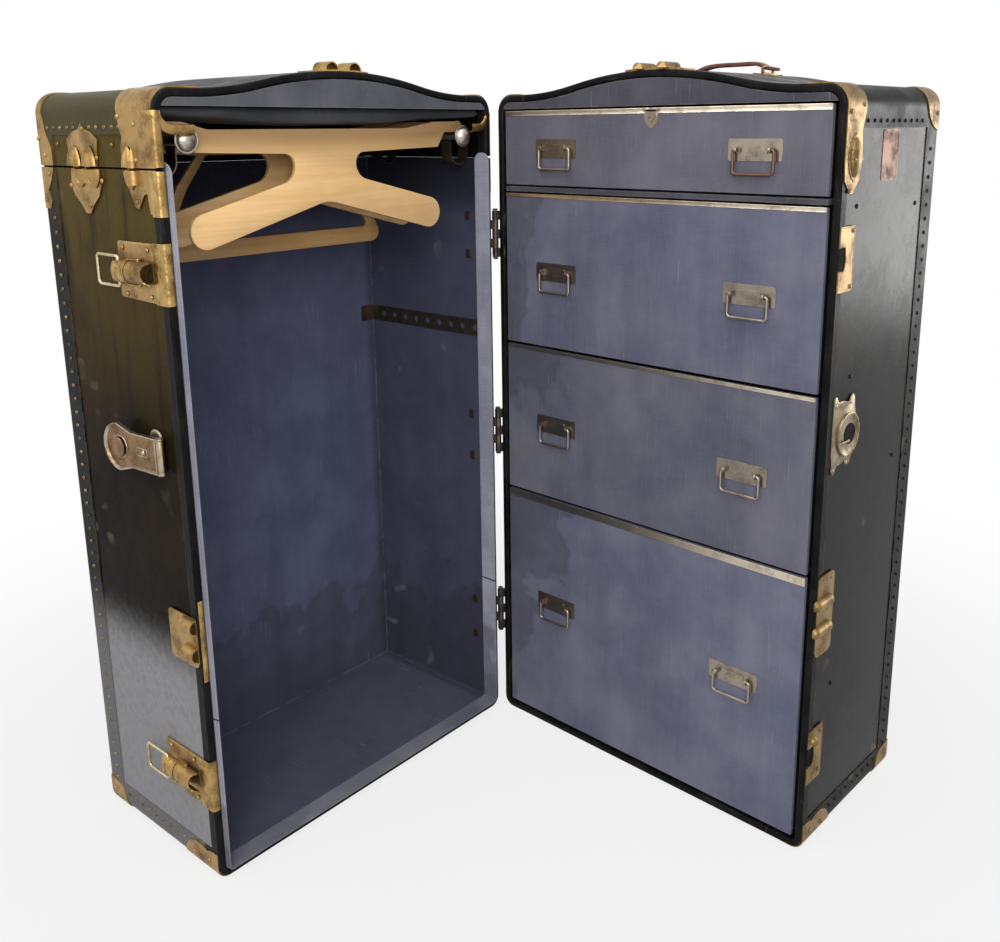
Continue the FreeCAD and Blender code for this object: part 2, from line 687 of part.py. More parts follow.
def make_leaves(name, half, knuckles):
    """Three hinge leaves of one half, with every other knuckle."""
    body = new_body(name)
    outer = "(hinge_gap - binding - leaf)"
    seat = "(hinge_gap - binding)"
    for middle in HINGES:
        low = f"({middle} - hinge_tall / 2)"
        high = f"({middle} + hinge_tall / 2)"
        near, far = depth(half, "knuckle + 2", "leaf_reach")
        extrude(body, "XY_Plane", [rectangle(outer, seat, near, far)], low, high)
        near, far = depth(half, "rim_depth", "leaf_reach")
        extrude(body, "XY_Plane", [rectangle(outer, LEFT, near, far)], low, high)
        sign = "" if half == DRAWER else "-"
        neck = [
            ("0", "0"), ("knuckle * 0.95", "0"), (seat, f"{sign}(knuckle + 1)"),
            (seat, f"{sign}(knuckle + 4)"), (outer, f"{sign}(knuckle + 4)"),
            ("0", f"{sign}(knuckle * 0.95)"),
        ]
        for number in knuckles:
            step = f"hinge_tall / {KNUCKLES}"
            bottom = f"({low} + {number} * {step} + slip / 2)"
            top = f"({low} + {number + 1} * {step} - slip / 2)"
            extrude(body, "XY_Plane", [neck], bottom, top)
            extrude(body, "XY_Plane", [["circle", "0", "0", "knuckle"]], bottom, top)
        bore = ["circle", "0", "0", "(pin + fit / 2)"]
        extrude(body, "XY_Plane", [bore], low, high, cut=True)
    finish(body, name, half)


def make_pins():
    """Hinge pins with a small head at each end."""
    body = new_body("hinge_pins")
    for middle in HINGES:
        low = f"({middle} - hinge_tall / 2 - 1)"
        high = f"({middle} + hinge_tall / 2 + 1)"
        extrude(body, "XY_Plane", [["circle", "0", "0", "pin"]], low, high)
        extrude(body, "XY_Plane", [["circle", "0", "0", "pin * 1.6"]], f"{low} - 2", low)
        extrude(body, "XY_Plane", [["circle", "0", "0", "pin * 1.6"]], high, f"{high} + 2")
    finish(body, "hinge_pins", DRAWER)


make_leaves("hinge_leaves_drawer_side", DRAWER, (0, 2, 4))
make_leaves("hinge_leaves_hanging_side", HANGING, (1, 3))
make_pins()


# --- Brass corners ----------------------------------------------------------------------------
def make_skin(name, half, reach, low=None, high=None):
    """Solid form of a half, reach outside its wood, with rounded edges round the back."""
    body = new_body(name)
    start, end = depth(half, "nose_round", f"half_depth + {reach}")
    extrude(body, "XZ_Plane", [half_outline(f"-({reach})", low, high)], start, end)
    outside = at_depth(end if half == DRAWER else start)
    levels = [value(level) for level in (low, high) if level]

    def at_back(edge):
        box = edge.BoundBox
        level = box.ZLength < 0.01 and any(abs(box.ZMin - z) < 0.01 for z in levels)
        return outside(edge) and not level
    round_edges(body, f"edge_round + {reach}", at_back)
    return body


def ball(x, y, z, radius):
    """Ball that cuts the round outline of a corner cap."""
    body = doc.addObject("Part::Sphere", "Ball")
    body.setExpression("Radius", bind(radius))
    for axis, formula in (("x", x), ("y", y), ("z", z)):
        body.setExpression(f".Placement.Base.{axis}", bind(formula))
    return body


def zone(corners, left, right):
    """Upright prism whose side view is given, to cut the outline of a bracket."""
    body = new_body("Zone")
    extrude(body, "YZ_Plane", [corners], left, right)
    return body


CROWN_TOP = "(case_height + crown_rise + binding)"


def crown_plate(body, half, near, far, first, last, thick="plate"):
    """Plate that follows the crown between two distances from the middle."""
    inner, outer = f"({SWELL} + binding)", f"({SWELL} + binding + {thick})"
    centre = f"(case_height + crown_rise - {SWELL})"
    begin, finish_at = f"asin(({first}) / {inner})", f"asin(({last}) / {inner})"
    loop = [
        (f"{MIDDLE} + {inner} * sin({finish_at})", f"{centre} + {inner} * cos({finish_at})"),
        (f"{MIDDLE} + {outer} * sin({finish_at})", f"{centre} + {outer} * cos({finish_at})",
         outer, 1),
        (f"{MIDDLE} + {outer} * sin({begin})", f"{centre} + {outer} * cos({begin})"),
        (f"{MIDDLE} + {inner} * sin({begin})", f"{centre} + {inner} * cos({begin})", inner, -1),
    ]
    start, end = depth(half, near, far)
    extrude(body, "XZ_Plane", [loop], start, end)


LID_DOWELS = ("(lid_dowel_back - 14)", "(lid_dowel_back + 14)", "50")
LID_DOWEL = "(dowel * 0.75)"


def make_lift_top_dowels():
    """Dowels that cross the split under the lift-top, and the sockets on its crown."""
    body = new_body("lift_top_dowels")
    for back in LID_DOWELS:
        loop = [("0", f"{LID_LOW} - dowel_nose"), (LID_DOWEL, f"{LID_LOW}"),
                (LID_DOWEL, f"{LID_LOW} + 8"), ("0", f"{LID_LOW} + 24")]
        revolve(body, "YZ_Plane", loop, f"{FACE} + fit", "0", 180, False, f"-{back}", True)
    crown_plate(body, HANGING, "rim_cover", "46", "-42", "42")
    bore, outer = "(dowel + 1.6)", "(dowel + 3.2)"
    for sign in ("-", "+"):
        x = f"({MIDDLE} {sign} dowel_pitch / 2)"
        loop = [(bore, "-dowel_nose - 22"), (outer, "-dowel_nose - 22"),
                (outer, "-rim_cover"), (bore, "-rim_cover")]
        revolve(body, "XY_Plane", loop, f"{CROWN_TOP} + plate - 1", "0", 180, False, x, True)
    return body


def make_caps(name, half, zones, low=None, high=None, fitted=None):
    """Pressed corner caps: the parts of a sheet round the half that lie inside the zones."""
    outer = make_skin(name + "_outer", half, "binding + plate", low, high)
    inner = make_skin(name + "_inner", half, "binding", low, high)
    sheet = boolean("Part::Cut", name + "_sheet", outer, inner)
    group = doc.addObject("Part::MultiFuse", name + "_zones")
    group.Shapes = zones
    caps = boolean("Part::Common", name + "_cut", sheet, group)
    if fitted:
        caps = boolean("Part::Fuse", name + "_fitted", caps, fitted)
    finish(caps, name, half)


def foot_zones(half):
    """Two-lobed caps at the four lower corners."""
    zones = []
    for x in (LEFT, RIGHT):
        for back, radius in (("10", "34"), ("46", "34"), ("half_depth - 14", "36")):
            y = back if half == DRAWER else f"-({back})"
            zones.append(ball(x, y, "6", radius))
    return zones


def top_zones(half):
    """Rounded caps at the two upper back corners."""
    y = "half_depth" if half == DRAWER else "-half_depth"
    return [ball(x, y, "case_height - 8", "cap * 0.8") for x in (LEFT, RIGHT)]


def span(half, near, far):
    return [f"({edge})" for edge in depth(half, near, far)]


def right_zone(corners):
    return zone(corners, f"{RIGHT} - cap", f"{RIGHT} + wall")


def back_zones(corners):
    """The same bracket on both back edges."""
    return [zone(corners, f"{RIGHT} - band", f"{RIGHT} + wall"),
            zone(corners, f"{LEFT} - wall", f"{LEFT} + band")]


ABOVE = "(case_height + wall)"
BEHIND = "(-half_depth - wall)"
SHIELD = "(-lid_dowel_back)"
SHOULDER_STRAP = [
    ("0", ABOVE), ("0", "strap_foot + 70"), ("3", "strap_foot + 40"), ("5", "strap_foot + 15"),
    ("20", "strap_foot"), ("26", "strap_foot"), ("42", "strap_foot + 16"),
    ("47", "strap_foot + 42"), ("43", "strap_foot + 72"), ("51", "strap_foot + 96"),
    ("52", ABOVE),
]
LID_BRACKET = [
    ("0", LID_LOW), ("0", ABOVE), ("-80", ABOVE), ("-79", "case_height - 12"),
    ("-74", "case_height - 40"), ("-69", "case_height - 54"), ("-74", "case_height - 64"),
    ("-72", "case_height - 76"), ("-68", LID_LOW),
]
CASE_BRACKET = [
    ("0", "split_height"), ("-68", "split_height"), ("-64", "split_height - 18"),
    ("-52", "split_height - 42"), ("-45", "split_height - 44"), ("-32", "split_height - 28"),
    ("-24", "split_height - 26"), ("-21", "split_height - 49"), ("0", "split_height - 49"),
]
LID_SHIELD = [
    (f"{SHIELD} - 32", LID_LOW), (f"{SHIELD} - 34", f"{LID_LOW} + 18"),
    (f"{SHIELD} - 37", f"{LID_LOW} + 32"), (f"{SHIELD} - 22", f"{LID_LOW} + 41"),
    (f"{SHIELD} - 6", f"{LID_LOW} + 44"), (SHIELD, f"{LID_LOW} + 51"),
    (f"{SHIELD} + 6", f"{LID_LOW} + 44"), (f"{SHIELD} + 22", f"{LID_LOW} + 41"),
    (f"{SHIELD} + 37", f"{LID_LOW} + 32"), (f"{SHIELD} + 34", f"{LID_LOW} + 18"),
    (f"{SHIELD} + 32", LID_LOW),
]
CASE_SHIELD = [
    (f"{SHIELD} - 33", "split_height"), (f"{SHIELD} - 36", "split_height - 20"),
    (f"{SHIELD} - 30", "split_height - 32"), (f"{SHIELD} - 14", "split_height - 44"),
    (f"{SHIELD} - 5", "split_height - 54"), (f"{SHIELD} + 5", "split_height - 54"),
    (f"{SHIELD} + 14", "split_height - 44"), (f"{SHIELD} + 30", "split_height - 32"),
    (f"{SHIELD} + 36", "split_height - 20"), (f"{SHIELD} + 33", "split_height"),
]
LID_BACK = [
    (BEHIND, LID_LOW), (BEHIND, ABOVE), ("-half_depth + 18", ABOVE),
    ("-half_depth + 20", "case_height - 24"), ("-half_depth + 28", "case_height - 50"),
    ("-half_depth + 38", "case_height - 66"), ("-half_depth + 38", LID_LOW),
]
CASE_BACK = [
    (BEHIND, "split_height"), (BEHIND, "split_height - 52"),
    ("-half_depth + 20", "split_height - 52"), ("-half_depth + 25", "split_height - 42"),
    ("-half_depth + 19", "split_height - 29"), ("-half_depth + 31", "split_height - 14"),
    ("-half_depth + 38", "split_height"),
]

drawer_zones = foot_zones(DRAWER) + top_zones(DRAWER)
drawer_zones.append(ball(LEFT, "0", "case_height - 10", "cap * 0.7"))
drawer_zones.append(right_zone(SHOULDER_STRAP))
make_caps("drawer_case_caps", DRAWER, drawer_zones)
hanging_zones = foot_zones(HANGING) + back_zones(CASE_BACK)
hanging_zones += [right_zone(CASE_BRACKET), right_zone(CASE_SHIELD)]
make_caps("hanging_case_caps", HANGING, hanging_zones, high="split_height")
lid_zones = back_zones(LID_BACK) + [right_zone(LID_BRACKET), right_zone(LID_SHIELD)]
lid_zones.append(ball(LEFT, "0", "case_height - 10", "cap * 0.7"))
make_caps("lift_top_caps", HANGING, lid_zones, low=LID_LOW, fitted=make_lift_top_dowels())


# --- Fittings on the outer side wall ----------------------------------------------------------
SEAT = OUTER


def side_plate(body, half, near, far, low, high, radius="4", thick="plate", base=SEAT):
    """Flat plate with rounded corners on the outer side wall."""
    start, end = depth(half, near, far)
    extrude(body, "YZ_Plane", [rounded(f"({start})", f"({end})", f"({low})", f"({high})", radius)],
            base, f"{base} + {thick}")


def make_draw_bolt(place, middle, bases):
    """Draw bolt: plate with two ears, a saddle lever on a pin, and a wire bail on the lever."""
    side_plate(bases, HANGING, "rim_cover", "bolt_reach", f"{middle} - bolt_plate / 2",
               f"{middle} + bolt_plate / 2", "6")
    side_plate(bases, HANGING, "6", "34", f"{middle} - bolt_plate / 2 + 6",
               f"{middle} + bolt_plate / 2 - 6", "5", "1.2", FACE)
    pivot_x = f"({FACE} + bolt_stand)"
    pivot_y = "(-bolt_pivot)"
    ear = [
        (FACE, f"{pivot_y} - 5"), (pivot_x, f"{pivot_y} - 5", "5", 1),
        (f"{pivot_x} + 5", pivot_y, "5", 1), (pivot_x, f"{pivot_y} + 5"),
        (FACE, f"{pivot_y} + 5"),
    ]
    bore = ["circle", pivot_x, pivot_y, "(pin - 0.5 + fit)"]
    for sign in (-1, 1):
        edges = sorted((sign * 1, sign * 4))
        low, high = [f"({middle} + {sign} * lever_wide / 2 + {edge})" for edge in edges]
        extrude(bases, "XY_Plane", [ear, bore], low, high)
    lever = new_body(place + "_lever")
    low, high = f"({middle} - lever_wide / 2)", f"({middle} + lever_wide / 2)"
    tip = f"({pivot_y} - lever_long)"
    saddle = [
        (f"{pivot_x} + 3.2", pivot_y, "3.2", 1), (pivot_x, f"{pivot_y} + 3.2", "3.2", 1),
        (f"{pivot_x} - 3.2", pivot_y), (f"{pivot_x} - 1", f"{pivot_y} - 26"),
        (f"{pivot_x} - 1", f"{pivot_y} - 48"), (f"{pivot_x} + 3", tip),
        (f"{pivot_x} + 5", tip), (f"{pivot_x} + 1.5", f"{pivot_y} - 48"),
        (f"{pivot_x} + 2", f"{pivot_y} - 26"),
    ]
    extrude(lever, "XY_Plane", [saddle], low, high)
    extrude(lever, "XY_Plane", [["circle", pivot_x, pivot_y, "pin - 0.5"]],
            f"{low} - 4.5", f"{high} + 4.5")
    hang_x, hang_y = f"({pivot_x} + 5)", "(-bolt_pivot - 36)"
    lug = [
        (f"{hang_x} - 4", f"{hang_y} - 4"), (hang_x, f"{hang_y} - 4", "4", 1),
        (f"{hang_x} + 4", hang_y, "4", 1), (hang_x, f"{hang_y} + 4"),
        (f"{hang_x} - 4", f"{hang_y} + 4"),
    ]
    eye = ["circle", hang_x, hang_y, "(bail_wire + fit)"]
    for sign in (-1, 1):
        edges = sorted((sign * 8, sign * 12))
        extrude(lever, "XY_Plane", [lug, eye], f"{middle} + {edges[0]}", f"{middle} + {edges[1]}")
    finish(lever, place + "_lever", HANGING)
    bail = new_body(place + "_bail")
    far = f"({hang_y} - bail_long)"
    half = "(lever_wide / 2 + 3)"
    path = [
        (hang_y, f"{middle} - 7.5"), (hang_y, f"{middle} - {half} + 4", "4", -1),
        (f"{hang_y} - 4", f"{middle} - {half}"), (f"{far} + 5", f"{middle} - {half}", "5", -1),
        (far, f"{middle} - {half} + 5"), (far, f"{middle} + {half} - 5", "5", -1),
        (f"{far} + 5", f"{middle} + {half}"), (f"{hang_y} - 4", f"{middle} + {half}", "4", -1),
        (hang_y, f"{middle} + {half} - 4"), (hang_y, f"{middle} + 7.5"),
    ]
    pipe(bail, "YZ_Plane", path, hang_x, "XY_Plane", ["circle", hang_x, hang_y, "bail_wire"],
         f"{middle} - 7.5")
    finish(bail, place + "_bail", HANGING)


def make_lock():
    """Hasp leaf with its barrel, the dished hasp on it, and the receiver on the drawer half."""
    pivot_x, pivot_y = f"({FACE} + 6)", "(-hasp_pivot)"
    half = "hasp_wide / 2"
    leaf = new_body("hasp_leaf")
    side_plate(leaf, HANGING, "rim_cover", "hasp_pivot", f"lock_high - {half} - 3",
               f"lock_high + {half} + 3", "3")
    hasp = new_body("lock_hasp")
    bore = ["circle", pivot_x, pivot_y, "(pin - 0.8)"]
    barrel = ["circle", pivot_x, pivot_y, "5"]
    stem = rectangle(FACE, pivot_x, f"{pivot_y} - 2", f"{pivot_y} + 5")
    for body, number in ((leaf, 0), (hasp, 1), (leaf, 2)):
        low = f"(lock_high - {half} + {number} * hasp_wide / 3 + slip / 2)"
        high = f"(lock_high - {half} + {number + 1} * hasp_wide / 3 - slip / 2)"
        if body is leaf:
            extrude(leaf, "XY_Plane", [stem], low, high)
        extrude(body, "XY_Plane", [barrel], low, high)
    for body in (leaf, hasp):
        extrude(body, "XY_Plane", [bore], f"lock_high - {half}", f"lock_high + {half}", cut=True)
    pin_body = leaf
    extrude(pin_body, "XY_Plane", [["circle", pivot_x, pivot_y, "pin - 1.1"]],
            f"lock_high - {half} - 1", f"lock_high + {half} + 1")
    finish(leaf, "hasp_leaf", HANGING)
    cup_y = "(-hasp_pivot - hasp_long)"
    flange_x = f"({FACE} + 9)"
    neck = [
        (f"{cup_y} + cup - 4", f"lock_high - {half} + 6"),
        (f"{pivot_y} - 5.6", f"lock_high - {half} + 1"),
        (f"{pivot_y} - 5.6", f"lock_high + {half} - 1"),
        (f"{cup_y} + cup - 4", f"lock_high + {half} - 6"),
    ]
    slot = rounded(f"({cup_y} + cup + 12)", f"({pivot_y} - 22)", "(lock_high - 3)",
                   "(lock_high + 3)", "2.9")
    extrude(hasp, "YZ_Plane", [neck, slot], flange_x, f"{flange_x} + 2")
    third = "hasp_wide / 6 - slip / 2"
    tongue = rectangle(f"{pivot_y} - 6", f"{pivot_y} - 3", f"lock_high - {third}",
                       f"lock_high + {third}")
    extrude(hasp, "YZ_Plane", [tongue], f"{pivot_x} - 1", f"{flange_x} + 2")
    dish = [
        ("0", "0"), ("0", "cup - 9"), ("8", "cup - 2.5"), ("8", "cup"), ("10", "cup"),
        ("10", "cup - 4"), ("2", "cup - 11"), ("2", "0"),
    ]
    dish = [(f"{FACE} + 1 + {along}", up) for along, up in dish]
    sketch_rise = "lock_high"
    revolve(hasp, "XZ_Plane", dish, f"-({cup_y})", sketch_rise)
    finish(hasp, "lock_hasp", HANGING)

    receiver = new_body("lock_receiver")
    centre = "(hasp_long - hasp_pivot)"
    side_plate(receiver, DRAWER, f"{centre} - 38", f"{centre} + 38", "lock_high - 58",
               "lock_high + 66", "36")
    ring = [["circle", centre, "lock_high", "cup + 5"], ["circle", centre, "lock_high", "cup + 1"]]
    extrude(receiver, "YZ_Plane", ring, FACE, f"{FACE} + 4")
    round_edges(receiver, "1.4", lambda edge: abs(edge.BoundBox.XMin - value(FACE) - 4) < 0.01)
    opening = ["circle", centre, "lock_high", "cup - 8"]
    extrude(receiver, "YZ_Plane", [opening], OUTER, f"{FACE} + 4", cut=True)
    bar = rectangle(f"{centre} - 18", centre, "lock_high - 12", "lock_high - 7")
    extrude(receiver, "YZ_Plane", [bar], OUTER, FACE)
    finish(receiver, "lock_receiver", DRAWER)


def bullet(body, x, y, z):
    """Half-round dowel on the side wall; its rounded nose points to -Y."""
    loop = [(f"{y} - dowel_nose", "0"), (f"{y} + dowel_long", "0"),
            (f"{y} + dowel_long", "dowel"),
            (f"{y} - dowel_nose + dowel", "dowel", "dowel", 1)]
    revolve(body, "YZ_Plane", loop, x, z, 180)


def top_bullet(body, x, z, nose, tail):
    """Half-round dowel on the crown between two depths."""
    loop = [("0", nose), ("dowel", f"{nose} + dowel"), ("dowel", tail), ("0", tail)]
    revolve(body, "XY_Plane", loop, z, "0", 180, False, x, True)


def socket(body, x, y, z):
    """Half-round sleeve that takes a dowel."""
    bore, outer, long = "(dowel + 0.8)", "(dowel + 2.6)", "(dowel_nose + 16)"
    loop = [(f"{y} - {long}", bore), (y, bore), (y, outer), (f"{y} - {long}", outer)]
    revolve(body, "YZ_Plane", loop, x, z, 180)


def make_dowels():
    """Dowel plates on the drawer half and their sockets on the hanging half, side and top."""
    dowels = new_body("drawer_case_dowels")
    sockets = new_body("hanging_case_dowel_sockets")
    side_plate(dowels, DRAWER, "rim_cover", "47", "dowel_high - 58", "dowel_high + 56", "8",
               "plate + fit")
    side_plate(sockets, HANGING, "rim_cover", "66", "dowel_high - 38", "dowel_high + 30", "8")
    for sign in ("-", "+"):
        z = f"(dowel_high {sign} dowel_pitch / 2)"
        bullet(dowels, f"{FACE} + fit", "0", z)
        socket(sockets, FACE, "-rim_cover", z)
    for back in LID_DOWELS:
        bore, outer = f"({LID_DOWEL} + 0.9)", f"({LID_DOWEL} + 2.4)"
        loop = [(bore, "split_height - 17"), (outer, "split_height - 17"),
                (outer, "split_height - 1"), (bore, "split_height - 1")]
        revolve(sockets, "YZ_Plane", loop, FACE, "0", 180, False, f"-{back}", True)
    crown_plate(dowels, DRAWER, "rim_cover", "46", "-42", "42", "plate * 1.6")
    for sign in ("-", "+"):
        x = f"({MIDDLE} {sign} dowel_pitch / 2)"
        top_bullet(dowels, x, f"{CROWN_TOP} + plate", "-dowel_nose", "dowel_long")
    finish(dowels, "drawer_case_dowels", DRAWER)
    finish(sockets, "hanging_case_dowel_sockets", HANGING)


def make_bolt_catches():
    """Brass plates on the drawer half with a raised hook for a draw bolt's bail."""
    body = new_body("bolt_catches")
    for middle in ("bolt_upper", "bolt_lower"):
        side_plate(body, DRAWER, "rim_cover", "50", f"{middle} - bolt_plate / 2",
                   f"{middle} + bolt_plate / 2", "8")
        hook = [
            (FACE, "12"), (f"{FACE} + 7", "20"), (f"{FACE} + 7", "27"), (f"{FACE} + 4.5", "27"),
            (f"{FACE} + 4.5", "22"), (f"{FACE}", "19"),
        ]
        extrude(body, "XY_Plane", [hook], f"{middle} - 12", f"{middle} + 12")
    finish(body, "bolt_catches", DRAWER)


bases = new_body("draw_bolt_bases")
make_draw_bolt("upper_draw_bolt", "bolt_upper", bases)
make_draw_bolt("lower_draw_bolt", "bolt_lower", bases)
finish(bases, "draw_bolt_bases", HANGING)
make_lock()
make_dowels()
make_bolt_catches()


# --- Lift-top ---------------------------------------------------------------------------------
LID_PIVOT_Y = "(-half_depth - binding - 4)"
LID_PIVOT_Z = "(split_height + split_gap / 2)"


def make_lift_top_hinges():
    """Two butt hinges across the split on the back."""
    low_leaf = new_body("lift_top_hinge_leaves_case")
    high_leaf = new_body("lift_top_hinge_leaves_lid")
    back = "(-half_depth - binding)"
    for centre in (f"({MIDDLE} - 150)", f"({MIDDLE} + 150)"):
        for body, sign, pieces in ((low_leaf, -1, (0, 2)), (high_leaf, 1, (1,))):
            near, far = sorted((sign * 3.4, sign * 30))
            plate = rectangle(f"{centre} - 24", f"{centre} + 24", f"{LID_PIVOT_Z} + {near}",
                              f"{LID_PIVOT_Z} + {far}")
            extrude(body, "XZ_Plane", [plate], f"{back} - plate", back)
            low, high = sorted((0, sign * 4))
            neck = rectangle(f"{LID_PIVOT_Y}", f"{back}", f"{LID_PIVOT_Z} + {low}",
                             f"{LID_PIVOT_Z} + {high}")
            for number in pieces:
                start = f"({centre} - 24 + {number} * 16 + slip / 2)"
                end = f"({centre} - 24 + {number + 1} * 16 - slip / 2)"
                extrude(body, "YZ_Plane", [neck], start, end)
                barrel = ["circle", LID_PIVOT_Y, LID_PIVOT_Z, "3.2"]
                extrude(body, "YZ_Plane", [barrel], start, end)
            bore = ["circle", LID_PIVOT_Y, LID_PIVOT_Z, "1.7"]
            extrude(body, "YZ_Plane", [bore], f"{centre} - 24", f"{centre} + 24", cut=True)
        pin = ["circle", LID_PIVOT_Y, LID_PIVOT_Z, "1.5"]
        extrude(low_leaf, "YZ_Plane", [pin], f"{centre} - 25", f"{centre} + 25")
    finish(low_leaf, "lift_top_hinge_leaves_case", HANGING)
    finish(high_leaf, "lift_top_hinge_leaves_lid", HANGING)


def make_cushion():
    """Padded lining of the lift-top, with the roll that holds the hangers down."""
    body = new_body("lift_top_cushion")
    left, right = f"({LEFT} + wall + 4)", f"({RIGHT} - wall - 4)"
    loop = [
        (left, "case_height - 31"), (f"{MIDDLE} - 132", "case_height - 31"),
        (f"{MIDDLE} - 110", "case_height - 41"), (f"{MIDDLE} + 176", "case_height - 41"),
        (f"{MIDDLE} + 198", "case_height - 31"), (right, "case_height - 31"),
        (right, "case_height - 14"), (left, "case_height - 14"),
    ]
    extrude(body, "XZ_Plane", [loop], "-(half_depth - wall - 10)", "-12")
    finish(body, "lift_top_cushion", HANGING)


make_lift_top_hinges()
make_cushion()


# --- Trolley and hangers ----------------------------------------------------------------------
def make_trolley():
    """Two rods joined by a rear bar, with a domed knob on each front end."""
    body = new_body("trolley_rods")
    path = [
        (ROD_LEFT, "-rod_front"), (ROD_LEFT, "-rod_back + rod_bend", "rod_bend", 1),
        (f"{ROD_LEFT} + rod_bend", "-rod_back"),
        (f"{ROD_RIGHT} - rod_bend", "-rod_back", "rod_bend", 1),
        (ROD_RIGHT, "-rod_back + rod_bend"), (ROD_RIGHT, "-rod_front"),
    ]
    pipe(body, "XY_Plane", path, "rod_high", "XZ_Plane", ["circle", ROD_LEFT, "rod_high", "rod"],
         "rod_front")
    for x in (ROD_LEFT, ROD_RIGHT):
        knob = [
            ("-rod_front", "0"), ("-rod_front + knob_high", "0", "knob * 1.25", 1),
            ("-rod_front + 2", "knob"), ("-rod_front", "knob"),
        ]
        revolve(body, "YZ_Plane", knob, x, "rod_high")
    finish(body, "trolley_rods", HANGING)


def make_brackets():
    """Sprung straps on the side walls that carry the rods; the front ones end in a hook."""
    body = new_body("rod_brackets")
    under = "(rod_high - rod - 0.4)"
    for sign, inner, rod_x in ((1, f"({LEFT} + wall + lining)", ROD_LEFT),
                               (-1, f"({RIGHT} - wall - lining)", ROD_RIGHT)):
        for back, hook in (("40", True), ("200", False)):
            def x(reach, inner=inner, sign=sign):
                return f"({inner} + {sign} * ({reach}))"
            reach = f"({'' if sign > 0 else '-'}({rod_x} - {inner}))"
            loop = [
                (x("0"), "split_height - 60"), (x("1.6"), "split_height - 60"),
                (x("1.6"), f"{under} - 1.6"),
            ]
            if hook:
                loop += [(x(f"{reach} + rod + 2"), f"{under} - 1.6"),
                         (x(f"{reach} + rod + 2"), "rod_high"),
                         (x(f"{reach} + rod + 0.4"), "rod_high"),
                         (x(f"{reach} + rod + 0.4"), under)]
            else:
                loop += [(x(f"{reach} + rod"), f"{under} - 1.6"), (x(f"{reach} + rod"), under)]
            loop.append((x("0"), under))
            extrude(body, "XZ_Plane", [loop], f"-({back}) - 14", f"-({back})")
    finish(body, "rod_brackets", HANGING)


def make_hanger(name, back, folded):
    """Plywood hanger whose bar lies on both rods; the trouser hanger has a closed lower loop."""
    body = new_body(name)
    centre = HANGER_MIDDLE
    tab = "(rod_high + rod + slip * 0.6)"
    bar_low = "(rod_high - 15)"

    def side(sign):
        return lambda reach: f"({centre} {sign} ({reach}))"
    right, left = side("+"), side("-")
    upper = [
        (right("hanger_half - 2"), f"{tab} + 13"), (right("hanger_half - 34"), f"{tab} + 15"),
        (right("hanger_half - 66"), f"{tab} + 6"), (left("hanger_half - 118"), f"{tab} + 6"),
        (left("hanger_half - 60"), f"{tab} + 15"), (left("hanger_half - 2"), f"{tab} + 13"),
        (left("hanger_half"), tab), (f"{ROD_LEFT} + 22", tab), (f"{ROD_LEFT} + 46", bar_low),
    ]
    def low(drop):
        return f"(rod_high - {drop})"
    if folded:
        lower = [
            (left("118"), low(21)), (left("150"), low(54)), (left("190"), low(121)),
            (left("182"), low(139)), (left("172"), low(145)), (right("172"), low(145)),
            (right("182"), low(139)), (right("190"), low(121)), (right("150"), low(54)),
            (right("118"), low(21)),
        ]
    else:
        lower = [
            (left("66"), low(19), "14", -1), (left("52"), low(33)), (left("52"), low(37)),
            (left("60"), low(53)), (left("182"), low(85)), (left("204"), low(107), "17", 1),
            (left("190"), low(131)), (centre, low(81)), (right("190"), low(131), "17", 1),
            (right("204"), low(107)), (right("182"), low(85)), (right("60"), low(53)),
            (right("52"), low(37)), (right("52"), low(33), "14", -1), (right("66"), low(19)),
        ]
    lower += [(f"{ROD_RIGHT} - 46", bar_low), (f"{ROD_RIGHT} - 22", tab),
              (right("hanger_half"), tab)]
    loops = [upper + lower]
    if folded:
        loops.append([
            (left("104"), low(21)), (left("136"), low(59)), (left("172"), low(121)),
            (right("172"), low(121)), (right("136"), low(59)), (right("104"), low(21)),
        ])
    extrude(body, "XZ_Plane", loops, f"-({back}) - hanger_thick", f"-({back})")
    doc.recompute()
    finish(body, name, HANGING)


def make_shoe_strap():
    """Perforated strap on the hinge-side wall, bent onto the back wall."""
    body = new_body("shoe_strap")
    wall_x = f"({LEFT} + wall + lining)"
    back_y = "(-half_depth + wall + lining)"
    low, high = "(strap_high - strap_wide / 2)", "(strap_high + strap_wide / 2)"
    loop = [
        (wall_x, "-24"), (wall_x, back_y), (f"{wall_x} + 27", back_y),
        (f"{wall_x} + 27", f"{back_y} + strap_thick"),
        (f"{wall_x} + strap_thick", f"{back_y} + strap_thick"), (f"{wall_x} + strap_thick", "-24"),
    ]
    extrude(body, "XY_Plane", [loop], low, high)
    for number in range(9):
        y = f"(-30 - {number} * 26.5)"
        hole = ["circle", y, "strap_high", "5"]
        extrude(body, "YZ_Plane", [hole], wall_x, f"{wall_x} + strap_thick", cut=True)
    finish(body, "shoe_strap", HANGING)


make_trolley()
make_brackets()
make_hanger("hanger_front", "hanger_first", False)
make_hanger("hanger_middle", "hanger_second", False)
make_hanger("trouser_hanger", "hanger_third", True)
make_shoe_strap()


